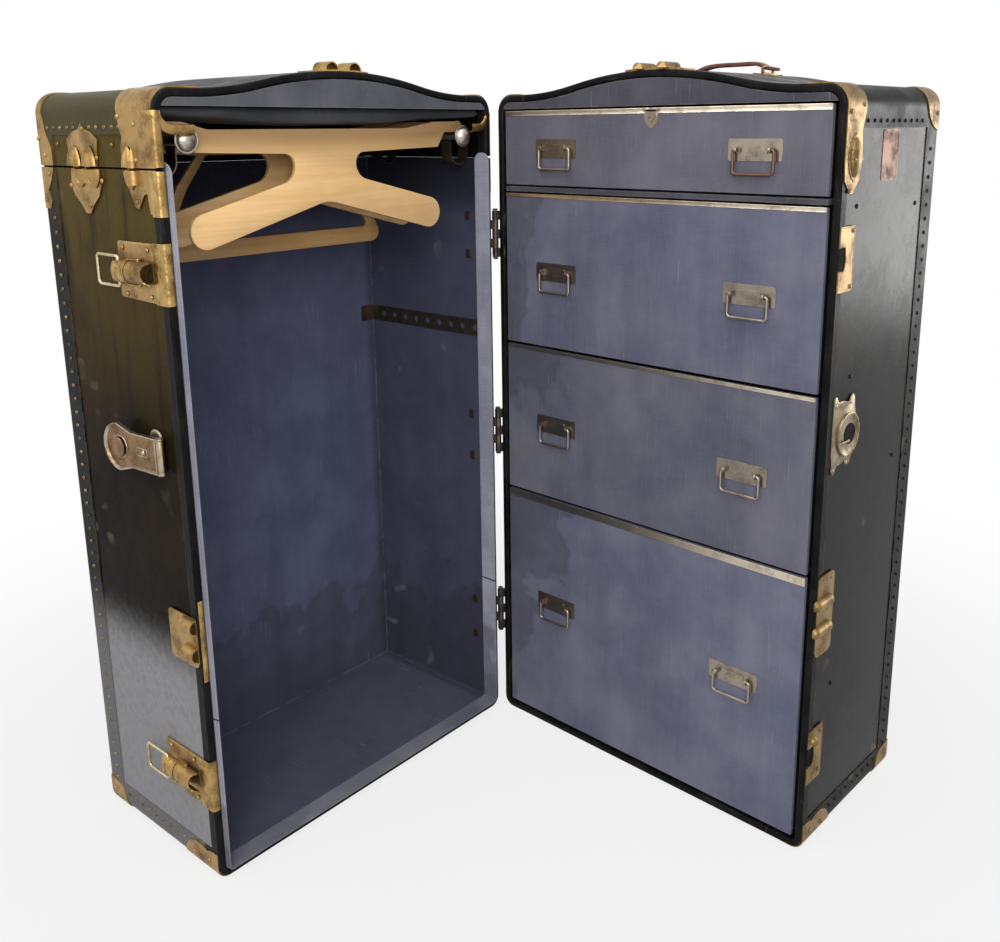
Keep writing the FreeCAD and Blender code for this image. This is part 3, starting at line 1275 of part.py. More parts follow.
# --- Carry handle -----------------------------------------------------------------------------
def make_carry_handle():
    """Leather strap through two brass loops on the top of the drawer half."""
    mounts = new_body("carry_handle_mounts")
    handle = new_body("carry_handle")
    near, far = "(handle_back - 16)", "(handle_back + 16)"
    for sign in (-1, 1):
        reach = f"({sign} * handle_long / 2)"
        crown_plate(mounts, DRAWER, near, far, f"{reach} - 15", f"{reach} + 15")
        frame = rounded(near, far, f"({CROWN_TOP} - 2.2)", f"({CROWN_TOP} + 9)", "3")
        window = rounded(f"({near} + 3)", f"({far} - 3)", f"({CROWN_TOP})", f"({CROWN_TOP} + 6.5)", "2")
        x = f"({MIDDLE} + {reach})"
        extrude(mounts, "YZ_Plane", [frame, window], f"{x} - 2", f"{x} + 2")
    finish(mounts, "carry_handle_mounts", DRAWER)
    x0, x1 = f"({MIDDLE} - handle_long / 2)", f"({MIDDLE} + handle_long / 2)"
    low, high = f"({CROWN_TOP} + 1.5)", f"({CROWN_TOP} + 5.5)"
    rise = f"({CROWN_TOP} + handle_high)"
    strap = [
        (f"{x0} - 14", low), (f"{x0} + 6", low), (f"{x0} + 22", f"{rise} - 4"),
        (f"{x1} - 22", f"{rise} - 4"), (f"{x1} - 6", low), (f"{x1} + 14", low),
        (f"{x1} + 14", high), (f"{x1} - 6", high), (f"{x1} - 21", rise),
        (f"{x0} + 21", rise), (f"{x0} + 6", high), (f"{x0} - 14", high),
    ]
    extrude(handle, "XZ_Plane", [strap], "handle_back - 11", "handle_back + 11")
    finish(handle, "carry_handle", DRAWER)


make_carry_handle()


# --- Check and write --------------------------------------------------------------------------
def check_document():
    """Stop if a feature failed or a piece is empty or unsound."""
    for item in doc.Objects:
        state = set(item.State)
        if state & {"Invalid", "Error"}:
            raise SystemExit(f"{item.Name} ({item.Label}) is {sorted(state)}")
    for piece in exported:
        if piece.Shape.isNull() or not piece.Shape.isValid():
            raise SystemExit(f"{piece.Label} has no sound shape")


doc.recompute()
check_document()
os.makedirs("parts", exist_ok=True)
for piece in exported:
    piece.Shape.exportStep(f"parts/{piece.Label}.step")
print(f"{len(exported)} pieces, {sum(len(piece.Shape.Solids) for piece in exported)} solids")
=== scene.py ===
# %% [markdown]
# # Dressing a wardrobe trunk
# The trunk stands open in two halves, a hanging half on the left and a drawer half on the right.
# Its rigid shapes come from a fixed CAD frame. This lesson gives every surface a worked finish and
# adds the nails, trims, cushion and handle that make the frame look like an old piece of luggage.

# %% Load the frame
import json
import math

import bmesh
import bpy
from mathutils import Matrix, Vector


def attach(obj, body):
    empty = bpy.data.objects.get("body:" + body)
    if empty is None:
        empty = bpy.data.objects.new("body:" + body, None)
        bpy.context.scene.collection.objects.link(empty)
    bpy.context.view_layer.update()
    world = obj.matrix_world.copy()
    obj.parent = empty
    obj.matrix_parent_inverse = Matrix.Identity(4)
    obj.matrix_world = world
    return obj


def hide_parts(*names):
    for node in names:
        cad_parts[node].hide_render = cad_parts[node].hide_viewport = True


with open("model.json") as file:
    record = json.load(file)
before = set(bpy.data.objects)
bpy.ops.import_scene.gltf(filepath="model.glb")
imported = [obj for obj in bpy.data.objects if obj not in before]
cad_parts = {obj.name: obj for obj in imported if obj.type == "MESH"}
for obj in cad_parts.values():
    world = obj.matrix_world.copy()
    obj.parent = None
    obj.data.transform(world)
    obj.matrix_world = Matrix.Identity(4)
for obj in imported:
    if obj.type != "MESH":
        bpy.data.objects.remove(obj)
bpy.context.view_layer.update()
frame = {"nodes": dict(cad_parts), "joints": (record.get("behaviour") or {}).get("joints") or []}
nodes = frame["nodes"]

# %% [markdown]
# Each half was drawn shut, with the hinge line as its upright axis, and then one half was swung
# open. Every new piece is drawn the same way, in millimetres: x runs away from the hinge, y is
# negative inside the hanging half and positive inside the drawer half, and z is up. Two matrices
# put such a drawing in its place, so a nail row is written down once for both halves.

# %% The two halves' own axes
main_hinge = next(joint for joint in frame["joints"] if joint["name"] == "main_hinge")
hinge_x, hinge_y = main_hinge["pos_m"][:2]
OPEN = math.radians(87.2)
MILLI = Matrix.Scale(0.001, 4)
DRAWER_HALF = Matrix.Translation((hinge_x, hinge_y, 0)) @ MILLI
HANGING_HALF = Matrix.Translation((hinge_x, hinge_y, 0)) @ Matrix.Rotation(-OPEN, 4, "Z") @ MILLI
print("hinge line at", hinge_x, hinge_y)

# %% [markdown]
# The camera stands a little above the open trunk, in line with the gap between the halves, so that
# both insides show. A small shift of the lens keeps the upright edges nearly upright.

# %% Camera
PLACE = (0.97182, -0.99085, 0.96732)
HEADING, PITCH_DOWN, ROLL = 42.929, 13.310, -0.509
lens = bpy.data.cameras.new("studio_camera")
lens.sensor_width, lens.lens = 36, 36.72
lens.shift_x, lens.shift_y = -0.0221, -0.1
camera = bpy.data.objects.new("studio_camera", lens)
bpy.context.scene.collection.objects.link(camera)
view = Matrix.Translation(PLACE)
for angle, axis in ((HEADING, "Z"), (90 - PITCH_DOWN, "X"), (ROLL, "Z")):
    view = view @ Matrix.Rotation(math.radians(angle), 4, axis)
camera.matrix_world = view
bpy.context.scene.camera = camera
print("camera at", tuple(camera.location))

# %% [markdown]
# The room and all finishes are node trees. Two small classes keep them readable. A recipe adds a
# node, sets its inputs and links it. A field is a node's output that can be added, multiplied and
# ramped like a number, so that each recipe below reads like a list of layers.

# %% A short way to write node trees
def tone(colour, light=1.0):
    """A colour written as it looks on a screen, 0 to 255, in linear light, lighter or darker."""
    linear = (((c / 255 + 0.055) / 1.055) ** 2.4 if c > 10 else c / 3295 for c in colour)
    return tuple(min(1.0, c * light) for c in linear)


class Field:
    """A node's output; sums, products and ramps of it are new nodes."""
    def __init__(self, recipe, socket):
        self.recipe, self.socket = recipe, socket

    def math(self, kind, other=0.0):
        return self.recipe.field("Math", "Value", {"operation": kind}, i0=self, i1=other)

    def __add__(self, other):
        return self.math("ADD", other)

    def __sub__(self, other):
        return self.math("SUBTRACT", other)

    def __mul__(self, other):
        return self.math("MULTIPLY", other)

    def __abs__(self):
        return self.math("ABSOLUTE")

    def sine(self):
        return self.math("SINE")

    def ramp(self, low, high, start=0.0, end=1.0):
        """A soft step from start, where the field is low, to end, where it is high."""
        return self.recipe.field("MapRange", "Result", {"interpolation_type": "SMOOTHSTEP"}, Value=self,
                                 From_Min=low, From_Max=high, To_Min=start, To_Max=end)


class Recipe:
    """Adds nodes to a tree and links them by name."""
    def __init__(self, tree):
        self.tree = tree

    def add(self, kind, settings=None, **sockets):
        node = self.tree.nodes.new("ShaderNode" + kind)
        for key, setting in (settings or {}).items():
            setattr(node, key, setting)
        self.feed(node, **sockets)
        return node

    def feed(self, node, **sockets):
        """Feeds inputs by name, or by number as i0, with a field, a socket, a colour or a number."""
        for key, source in sockets.items():
            at = node.inputs[int(key[1:]) if key[1:].isdigit() else key.replace("_", " ")]
            if isinstance(source, Field):
                source = source.socket
            if isinstance(source, bpy.types.NodeSocket):
                self.tree.links.new(source, at)
            elif at.type == "RGBA":
                at.default_value = (*source, 1)
            else:
                at.default_value = source

    def field(self, kind, output, settings=None, **sockets):
        return Field(self, self.add(kind, settings, **sockets).outputs[output])

    def dot(self, first, second):
        return self.field("VectorMath", "Value", {"operation": "DOT_PRODUCT"}, i0=first, i1=second)

    def noise(self, place, scale, detail=3.0, rough=0.55, stretch=None):
        if stretch:
            place = self.field("Mapping", "Vector", Vector=place, Scale=stretch)
        return self.field("TexNoise", "Fac", Vector=place, Scale=scale, Detail=detail, Roughness=rough)

    def axes(self, place):
        return [Field(self, socket) for socket in self.add("SeparateXYZ", Vector=place).outputs]

    def layers(self, base, *coats):
        """Tones laid over a base tone: each coat is a share, a tone and sometimes its lightness."""
        base = tone(base)
        for share, *colour in coats:
            base = self.add("Mix", {"data_type": "RGBA", "clamp_factor": True},
                            i0=share, i6=base, i7=tone(*colour)).outputs[2]
        return base


print("fields and recipes ready")

# %% [markdown]
# Old lacquer and metal only look right with something large and soft to mirror. Big area lamps and
# a pale room do that, at a level where a colour comes out about as it is written. To the camera
# the room is plain white, and the grey floor fades to the same white away from the trunk, so that
# only a soft shadow is left on it.

# %% Light and floor
for name, place, aim, size, power in (
        ("overhead_softbox", (0.4, -0.8, 2.9), (0, 0, 0.4), (2.2, 2.2), 46),
        ("front_softbox", (2.0, -2.1, 1.7), (0, 0, 0.5), (2.0, 1.6), 54),
        ("left_softbox", (-1.6, -2.8, 2.0), (-0.1, 0, 0.6), (0.9, 1.2), 14),
        ("back_softbox", (1.6, 2.7, 0.8), (0.3, 0.2, 0.8), (1.4, 1.0), 30)):
    lamp = bpy.data.lights.new(name, "AREA")
    lamp.shape = "RECTANGLE"
    lamp.size, lamp.size_y = size
    lamp.energy = power
    holder = bpy.data.objects.new(name, lamp)
    bpy.context.scene.collection.objects.link(holder)
    holder.location = place
    holder.rotation_euler = (Vector(aim) - Vector(place)).to_track_quat("-Z", "Y").to_euler()


def sees_white(recipe):
    """A mask of the rays that show the plain white studio: from the camera, a mirror or glass."""
    rays = recipe.add("LightPath").outputs
    mask = Field(recipe, rays["Is Camera Ray"])
    for kind in ("Is Glossy Ray", "Is Transmission Ray"):
        mask = mask.math("MAXIMUM", rays[kind])
    return mask


room = bpy.data.worlds.new("pale_room")
bpy.context.scene.world = room
room.use_nodes = True
room.node_tree.nodes.clear()
r = Recipe(room.node_tree)
plain = r.field("Background", "Background", Color=(0.96, 0.97, 1.0), Strength=0.3)
seen = r.field("Background", "Background", Color=(1, 1, 1))
r.add("OutputWorld", Surface=r.field("MixShader", "Shader", Fac=sees_white(r), i1=plain, i2=seen))

bpy.ops.object.select_all(action="DESELECT")
bpy.ops.mesh.primitive_plane_add(size=40, location=(0, 0, 0))
floor = bpy.context.object
floor.name = "studio_floor"
paper = bpy.data.materials.new("studio_paper")
paper.use_nodes = True
r = Recipe(paper.node_tree)
surface = r.tree.nodes["Principled BSDF"]
r.feed(surface, Base_Color=(0.5, 0.5, 0.5), Roughness=0.9)
away = r.field("VectorMath", "Value", {"operation": "LENGTH"}, i0=r.field("TexCoord", "Object"))
part_white = sees_white(r) * away.ramp(0.5, 1.7, 0.78, 1.0)
blend = r.field("MixShader", "Shader", Fac=part_white, i1=surface.outputs["BSDF"],
                i2=r.field("Emission", "Emission", Strength=1))
r.feed(r.tree.nodes["Material Output"], Surface=blend)
floor.data.materials.append(paper)
bpy.context.scene.view_settings.view_transform = "Standard"
print("lamps, room and floor made")

# %% [markdown]
# Three effects turn up in many finishes, so each is built once as a node group. The first is a
# plain weave: threads cross on every flat face whichever way it looks, because the three sine
# waves share one height. The second finds the rubbed edges of a piece, by comparing its normal
# with a softly rounded one. The third draws fine scratches out of stretched noise.

# %% Shared effect: plain weave
def shader_group(name, numbers, outputs):
    """An empty group: its recipe, the place and numbers that it is given, and its results' node."""
    tree = bpy.data.node_groups.new(name, "ShaderNodeTree")
    for way, labels in (("INPUT", ("Place", *numbers)), ("OUTPUT", outputs)):
        for label in labels:
            kind = "NodeSocketVector" if label == "Place" else "NodeSocketFloat"
            tree.interface.new_socket(label, in_out=way, socket_type=kind)
    recipe = Recipe(tree)
    given = tree.nodes.new("NodeGroupInput").outputs[:1 + len(numbers)]
    return recipe, [Field(recipe, socket) for socket in given], tree.nodes.new("NodeGroupOutput")


r, (place, pitch, slub), result = shader_group("plain_weave", ("Pitch", "Slub"), ("Height", "Thread"))
around = r.field("Math", "Value", {"operation": "DIVIDE"}, i0=math.pi, i1=pitch)
ribs = [abs((axis * around).sine()) for axis in r.axes(place)]
level = r.noise(place, 1.0, 2.0, stretch=(0.9, 0.9, 0.03))
threads = level + r.noise(place, 1.0, 2.0, stretch=(0.03, 0.03, 0.9))
r.feed(result, Height=ribs[0] + ribs[1] + ribs[2] + threads * slub, Thread=threads * 0.5)
weave = r.tree
print("weave group has", len(weave.nodes), "nodes")

# %% Shared effect: rubbed edges
r, (place, reach, patches), result = shader_group("rubbed_edges", ("Reach", "Patches"), ("Mask",))
rounded = r.field("Bevel", "Normal", {"samples": 4}, Radius=reach)
edge = r.dot(rounded, r.field("NewGeometry", "Normal")).ramp(0.985, 0.8)
r.feed(result, Mask=edge * r.noise(place, patches, 5.0, 0.7).ramp(0.4, 0.62))
rubbed = r.tree
print("edge group has", len(rubbed.nodes), "nodes")

# %% Shared effect: fine scratches
r, (place, fineness, share), result = shader_group("fine_scratches", ("Fineness", "Share"), ("Mask",))
marks = None
for angle in (12, 67, 104, 158):
    lean = [math.radians(angle * part) for part in (1, 0.7, 1.9)]
    leaning = r.field("Mapping", "Vector", Vector=place, Rotation=lean, Scale=(1, 0.035, 0.035))
    line = r.noise(leaning, fineness, 1.0, 0.5).ramp(0.735, 0.775)
    marks = marks.math("MAXIMUM", line) if marks else line
r.feed(result, Mask=marks * r.noise(place, 0.011, 2.0).ramp(0.4, 0.7) * share)
scratches = r.tree
print("scratch group has", len(scratches.nodes), "nodes")

# %% [markdown]
# Every finish starts the same way: a material with its shader, and a field that gives the place on
# the piece in its half's own millimetres, so a pattern stands square on the half that swung open.

# %% Start of a finish
class Finish(Recipe):
    """A new material's recipe, with the place in the half's own millimetres."""
    def __init__(self, name, half):
        self.material = bpy.data.materials.new(name)
        self.material.use_nodes = True
        super().__init__(self.material.node_tree)
        back = half.inverted()
        self.place = self.field("Mapping", "Vector", Vector=self.field("TexCoord", "Object"),
                                Location=back.translation, Rotation=back.to_euler(), Scale=(1000, 1000, 1000))
        self.x, self.y, self.z = self.axes(self.place)

    def moved(self, across, deep, high):
        """The same pattern as elsewhere, from another part of it."""
        return self.field("Mapping", "Vector", Vector=self.place, Location=(across, deep, high))

    def weave(self, output, pitch, slub):
        node = self.add("Group", {"node_tree": weave}, Place=self.place, Pitch=pitch, Slub=slub)
        return [Field(self, node.outputs[name]) for name in output.split()]

    def worn(self, reach, patches):
        return self.field("Group", "Mask", {"node_tree": rubbed}, Place=self.place, Reach=reach,
                          Patches=patches)

    def scratched(self, fineness, share, place=None):
        return self.field("Group", "Mask", {"node_tree": scratches}, Place=place or self.place,
                          Fineness=fineness, Share=share)

    def made(self, colour, rough, bump, **others):
        """Feeds the shader; the bump is its height, strength and distance."""
        normal = self.field("Bump", "Normal", Height=bump[0], Strength=bump[1], Distance=bump[2])
        self.feed(self.tree.nodes["Principled BSDF"], Base_Color=colour, Roughness=rough,
                  Normal=normal, **others)
        return self.material


print("finishes can be made")

# %% [markdown]
# The outside of the trunk is vulcanised fibre over a wooden box, under many coats of black lacquer.
# Its upper part carries a painted olive reflection and its foot a painted pale reflection of the floor; the
# lacquer dulls where it was handled, and keeps a faint weave and long soft dents. Colour, roughness and bump
# therefore all vary over the sheet.

# %% Finish: black lacquered fibre
def lacquered_fibre(name, half, deep, high, olive_reflection, level, floor_reflection, dent):
    """Lacquer from deep to high tones; yellow is the share of a painted olive reflection on its upper part.

    gleam is the share of a painted pale reflection of the floor near its foot, and dent is the depth of its
    dents.
    """
    f = Finish(name, half)
    cloud, fine = f.noise(f.place, 0.008, 4.0), f.noise(f.place, 0.09, 5.0, 0.65)
    drip = f.noise(f.place, 1.0, 3.0, 0.6, stretch=(0.05, 0.05, 0.004))
    nick = f.noise(f.place, 0.3, 3.0, 0.7)
    # low and pale mask a painted reflection of the floor on the lower front of the wall.
    low = (f.z.ramp(378, 245) * 0.9 + fine * 0.2).ramp(0.12, 1.02)
    pale = low * f.x.ramp(500, 541) * fine.ramp(0.36, 0.62, 0.88, 1)
    worn = f.worn(0.003, 0.05)
    inside = f.x.ramp(562, 559).math("MINIMUM", f.z.ramp(1012, 1009))
    inside = inside.math("MINIMUM", abs(f.y).ramp(277, 275))
    colour = f.layers(
        deep, (cloud.ramp(0.35, 0.7), high),
        # Painted reflection: an olive tint on the upper part of the wall.
        (f.z.ramp(520, 940) * cloud.ramp(0.15, 0.5) * olive_reflection, (88, 74, 36)),
        (drip.ramp(0.5, 0.72, 0, 0.5), deep),
        # Painted reflection of the floor: greyer low down, and pale grey on the lower front.
        (f.z.ramp(420, 120) * fine.ramp(0.3, 0.7) * (0.3 * floor_reflection), (104, 100, 98)),
        (pale * floor_reflection, (146, 145, 147)),
        (f.scratched(0.5, 0.5), (120, 108, 92)),
        (nick.ramp(0.72, 0.76) * 0.5, (132, 118, 100)),
        (worn * 0.8, (112, 84, 58)), (inside, (13, 13, 15)))
    rough = cloud.ramp(0.3, 0.75, 0.2, 0.34) + fine.ramp(0.4, 0.7) * 0.04 + worn * 0.25
    sheet, = f.weave("Height", 1.5, 1.6)
    height = sheet * 0.035 + f.noise(f.place, 0.016, 2.0) * dent + fine * (0.1 * dent)
    return f.made(colour, rough, (height, 0.4, 0.0012), Specular_IOR_Level=level)


def bound_fibre(name, half, wear, olive=0.0):
    """Black binding; olive is the share of painted reflection it takes on the outer side of the hanging half:
    olive high up, pale grey near the floor.
    """
    f = Finish(name, half)
    cloud, fine = f.noise(f.place, 0.02, 5.0, 0.65), f.noise(f.place, 0.35, 4.0, 0.7)
    side = f.x.ramp(528, 545) * f.y.ramp(-30, -36) * olive
    colour = f.layers(
        (12, 12, 13), (cloud.ramp(0.35, 0.7), (28, 27, 27)),
        # Painted reflections on the outer side: an olive tint high up, pale grey near the floor.
        (f.z.ramp(820, 960) * side * cloud.ramp(0.2, 0.6, 0.6, 1), (76, 70, 42)),
        (f.z.ramp(378, 245) * side * fine.ramp(0.3, 0.7, 0.6, 1), (122, 121, 122)),
        (f.worn(0.0035, 0.045) * wear, (116, 100, 84)),
        (fine.ramp(0.62, 0.7) * cloud.ramp(0.5, 0.6) * wear, (140, 120, 96)),
        (f.scratched(0.6, 0.5), (108, 102, 98)))
    rough = cloud.ramp(0.3, 0.7, 0.28, 0.5)
    return f.made(colour, rough, (cloud * 1.5 + fine * 0.3, 0.45, 0.001), Specular_IOR_Level=0.06)


# The hanging half's lacquer is a browner copy with almost no specular: its brown is partly painted warm
# reflection, over the lacquer's own near-black.
fibre_left = lacquered_fibre("lacquered_fibre_hanging", HANGING_HALF, (15, 11, 7), (34, 25, 15), 0.85,
                             0.02, 0.95, 2.2)
fibre_right = lacquered_fibre("lacquered_fibre_drawer", DRAWER_HALF, (11, 11, 12), (20, 19, 19), 0.1,
                              0.07, 0, 0.3)
binding_left = bound_fibre("fibre_binding_hanging", HANGING_HALF, 0.5, 0.85)
binding_right = bound_fibre("fibre_binding_drawer", DRAWER_HALF, 0.6)
print("lacquer and binding made")

# %% [markdown]
# Inside, everything is covered in dark blue book cloth, pasted on card or board. It has faded to a
# purple grey on the faces that rubbed, and is scratched down to pale threads. Damp rose in it from
# one side: a slope along one direction is added to a soft noise, the cloth is darker where the sum
# is high, and the edge of that part is a thin tide line.

# %% Finish: blue book cloth
def book_cloth(name, half, dark, light, shift=0.0, damp=None, stain=(52, 51, 56), fresh=0.0, seam=0):
    """Cloth from dark to light tones; damp is a direction and where its slope starts and ends.

    seam is the height of a butt joint in the sheet, and fresh is the share of painted shade, near black,
    high up and beside the hinges, where no light reaches the cloth.
    """
    f = Finish(name, half)
    moved = f.moved(shift, shift * 0.7, shift * 1.3)
    cloud, fine = f.noise(moved, 0.0075, 4.0, 0.6), f.noise(moved, 0.12, 5.0, 0.7)
    streak = f.noise(moved, 1.0, 2.0, 0.5, stretch=(0.02, 0.02, 0.0009))
    raised, thread = f.weave("Height Thread", 0.75, 1.2)
    coats = [(cloud.ramp(0.3, 0.7), light), (streak.ramp(0.42, 0.66, 0, 0.3), dark, 0.75),
             (thread.ramp(0.4, 0.68) * 0.25, light, 1.25), (fine.ramp(0.5, 0.75) * 0.18, dark, 0.7)]
    if damp:
        along, first, last = damp
        wet = f.noise(moved, 0.012, 5.0, 0.55) * 0.7 + f.dot(f.place, along).ramp(first, last) * 0.5
        coats += [(wet.ramp(0.48, 0.72) * 0.6, stain),
                  (wet.ramp(0.5, 0.55) * wet.ramp(0.64, 0.55) * 0.3, stain, 0.6)]
    if seam:
        coats.append((abs(f.z - seam).ramp(1.6, 0.9, 0, 0.9), (20, 19, 22)))
    if fresh:
        # Painted shade: near black high up and beside the hinges, where no light reaches the cloth.
        hidden = f.z.ramp(790, 885).math("MAXIMUM", f.x.ramp(40, 22, 0, 0.5))
        coats.append((hidden * fresh, (12, 12, 17)))
    coats += [(f.scratched(0.42, 0.4, moved), (150, 148, 152)),
              (f.noise(moved, 0.32, 2.0, 0.6).ramp(0.735, 0.76) * 0.5, (160, 156, 150)),
              (f.worn(0.0028, 0.05) * 0.6, (150, 142, 130))]
    height = raised * 0.22 + fine * 0.3 + cloud * 1.2
    return f.made(f.layers(dark, *coats), cloud.ramp(0.3, 0.7, 0.7, 0.56), (height, 0.5, 0.0008),
                  Sheen_Weight=0.06, Specular_IOR_Level=0.12)


drawer_cloth = {}
for number, (name, dark, light, damp) in enumerate((
        ("one", (88, 87, 98), (108, 106, 116), None),
        ("two", (86, 88, 108), (112, 112, 128), ((-1, 0, 0.1), -60, 110)),
        ("three", (84, 86, 101), (110, 109, 121), ((-0.6, 0, 0.8), 320, 560)),
        ("four", (90, 93, 114), (116, 117, 133), ((-0.9, 0, 0.4), -90, 150)))):
    drawer_cloth[name] = book_cloth(f"book_cloth_drawer_{name}", DRAWER_HALF, dark, light, 137.0 * number,
                                    damp, (66, 66, 76))
rail_cloth = book_cloth("book_cloth_rails", DRAWER_HALF, (62, 61, 70), (82, 80, 88), 61)
lining_cloth = book_cloth("book_cloth_lining", HANGING_HALF, (76, 79, 104), (96, 99, 124), 23,
                          ((0, 0.1, -1), -330, 20), (62, 61, 66), 0.85)
# The lip is a much paler copy of the lining cloth: partly painted light on its lit front edge, partly pale
# wear.
lip_cloth = book_cloth("book_cloth_lip", HANGING_HALF, (132, 132, 148), (172, 171, 182), 77,
                       ((0, 0, -1), -240, 60), (58, 58, 64), seam=236)
lid_cloth = book_cloth("book_cloth_lid_front", HANGING_HALF, (76, 77, 86), (100, 100, 106), 311)
cushion_cloth = book_cloth("cushion_cloth", HANGING_HALF, (52, 54, 56), (76, 77, 78), 501)
print("book cloths made")

# %% [markdown]
# The fittings are stamped brass, once lacquered and now brown in the hollows; their edges are lighter, partly
# rubbed bright by hands and partly a painted highlight. The lock, trims and drawer handles are nickel plate
# that lets brown metal through,
# and the hinges are plain dark steel. One recipe serves all of them with its own colours.

# %% Finish: aged metals
def aged_metal(name, half, fresh, dark, shine=0.34, tarnish=0.5, hammer=0.0):
    """Metal that goes from its fresh colour to a dark film; hammer is the depth of beaten dents."""
    f = Finish(name, half)
    cloud, fine = f.noise(f.place, 0.03, 4.0, 0.6), f.noise(f.place, 0.3, 5.0, 0.7)
    film = (cloud * 0.75 + fine * 0.25).ramp(0.56 - 0.3 * tarnish, 0.8 - 0.2 * tarnish)
    # Lighter edges, up to 1.7 times the fresh colour: partly rubbed wear, partly a painted highlight.
    bright = f.worn(0.0014, 0.05)
    colour = f.layers(
        fresh, (film, dark), (fine.ramp(0.62, 0.7) * cloud.ramp(0.45, 0.6) * 0.55, dark, 0.45),
        (bright * 0.85, fresh, 1.7), (f.scratched(1.1, 0.5) * 0.6, fresh, 1.4))
    rough = film.ramp(0, 1, shine, shine + 0.16) + fine * 0.12 - bright * 0.1
    height = fine * 0.4 + cloud * 1.5
    if hammer:
        blow = f.field("TexVoronoi", "Distance", {"feature": "SMOOTH_F1"}, Vector=f.place, Scale=0.16)
        height = height + blow * hammer
    return f.made(colour, rough, (height, 0.4, 0.0007), Metallic=1.0)


brass_left = aged_metal("aged_brass_hanging", HANGING_HALF, (170, 138, 86), (98, 76, 44))
dark_nails = aged_metal("aged_brass_nails", HANGING_HALF, (132, 112, 80), (58, 48, 34), 0.24, 0.6)
brass_right = aged_metal("aged_brass_drawer", DRAWER_HALF, (142, 116, 76), (86, 66, 40), 0.36)
beaten_brass = aged_metal("beaten_brass", HANGING_HALF, (188, 156, 98), (104, 78, 42), 0.28, 0.6, 3.0)
bail_brass = aged_metal("pale_brass_wire", HANGING_HALF, (206, 190, 156), (158, 138, 102), 0.3, 0.4)
nickel_left = aged_metal("worn_nickel_hanging", HANGING_HALF, (182, 170, 150), (116, 90, 62), 0.26, 0.6)
nickel_right = aged_metal("worn_nickel_drawer", DRAWER_HALF, (158, 148, 134), (104, 94, 82), 0.3, 0.45)
receiver_nickel = aged_metal("brassy_nickel_receiver", DRAWER_HALF, (158, 144, 116), (82, 64, 44), 0.26, 0.7)
hasp_copper = aged_metal("copper_brown_field", HANGING_HALF, (144, 114, 82), (88, 64, 42), 0.32, 0.6)
clinch_steel = aged_metal("brown_steel_clinch", HANGING_HALF, (96, 80, 66), (62, 50, 42), 0.5, 0.6)
# Near-black metal that is painted shade: it fills openings and the split, where no light reaches.
painted_shade_dark = aged_metal("painted_shade_dark", DRAWER_HALF, (20, 17, 15), (12, 10, 9), 0.7, 0.6)
strip_nickel = aged_metal("bright_nickel_strip", DRAWER_HALF, (218, 206, 186), (150, 136, 114), 0.24, 0.4)
copper_plate = aged_metal("worn_copper_drawer", DRAWER_HALF, (114, 86, 73), (74, 54, 45), 0.42, 0.5)
rod_nickel = aged_metal("bright_nickel_rods", HANGING_HALF, (188, 180, 170), (120, 112, 102), 0.26, 0.35)
steel_left = aged_metal("dark_steel_hanging", HANGING_HALF, (110, 98, 84), (60, 53, 48), 0.42, 0.6)
steel_right = aged_metal("dark_steel_drawer", DRAWER_HALF, (84, 80, 78), (44, 42, 42), 0.42, 0.6)
print("metals made")

# %% [markdown]
# The hangers are sawn from thin birch plywood under clear varnish that has gone honey coloured. The
# faces show long soft grain, and the edges show the glued layers, so the finish asks which way a
# face looks before it picks one of the two. The drawers' hidden sides are plain softwood, and the
# carry handle is thick saddle leather, dry and red brown.

# %% Finish: wood and leather
def plywood_finish(name, pale, honey, shift=0.0):
    f = Finish(name, HANGING_HALF)
    moved = f.moved(shift, shift, shift)
    grain = f.noise(moved, 1.0, 4.0, 0.6, stretch=(0.006, 0.2, 0.16))
    pores = f.noise(moved, 1.0, 3.0, 0.7, stretch=(0.03, 0.9, 0.9))
    across = (HANGING_HALF.to_3x3() @ Vector((0, 1, 0))).normalized()
    edge = abs(f.dot(f.field("NewGeometry", "Normal"), across)).ramp(0.7, 0.4)
    ply = (f.y * (math.pi / 1.2)).sine()
    colour = f.layers(
        pale, (grain.ramp(0.3, 0.72, 0.15, 0.85), honey), (pores.ramp(0.58, 0.74) * 0.1, (170, 124, 70)),
        (f.noise(moved, 0.012, 3.0).ramp(0.45, 0.72) * 0.3, honey, 0.82),
        (edge * ply.ramp(-0.4, 0.4, 0.1, 0.6), (158, 116, 70)),
        # Darker brown towards the top of the bar: partly painted shade under the lid, partly darker stain.
        (f.z.ramp(932, 966, 0, 0.75), (148, 110, 66)), (f.worn(0.0018, 0.03) * 0.5, pale, 1.3))
    return f.made(colour, grain.ramp(0.3, 0.7, 0.34, 0.46), (grain + pores * 0.4, 0.3, 0.0005),
                  Coat_Weight=0.25, Coat_Roughness=0.3)


def softwood_finish(name, half):
    f = Finish(name, half)
    grain = f.noise(f.place, 1.0, 5.0, 0.6, stretch=(0.12, 0.008, 0.1))
    line = (grain * 60).sine()
    # The front ends of the sides go near black: painted shade in the gap beside the drawer fronts.
    colour = f.layers((164, 128, 84), (line.ramp(-0.6, 0.9), (138, 102, 64)),
                      (f.noise(f.place, 0.01, 3.0).ramp(0.45, 0.75), (112, 84, 56)),
                      (f.y.ramp(60, 44), (16, 15, 16)))
    return f.made(colour, grain.ramp(0.3, 0.7, 0.6, 0.75), (line, 0.2, 0.0004))


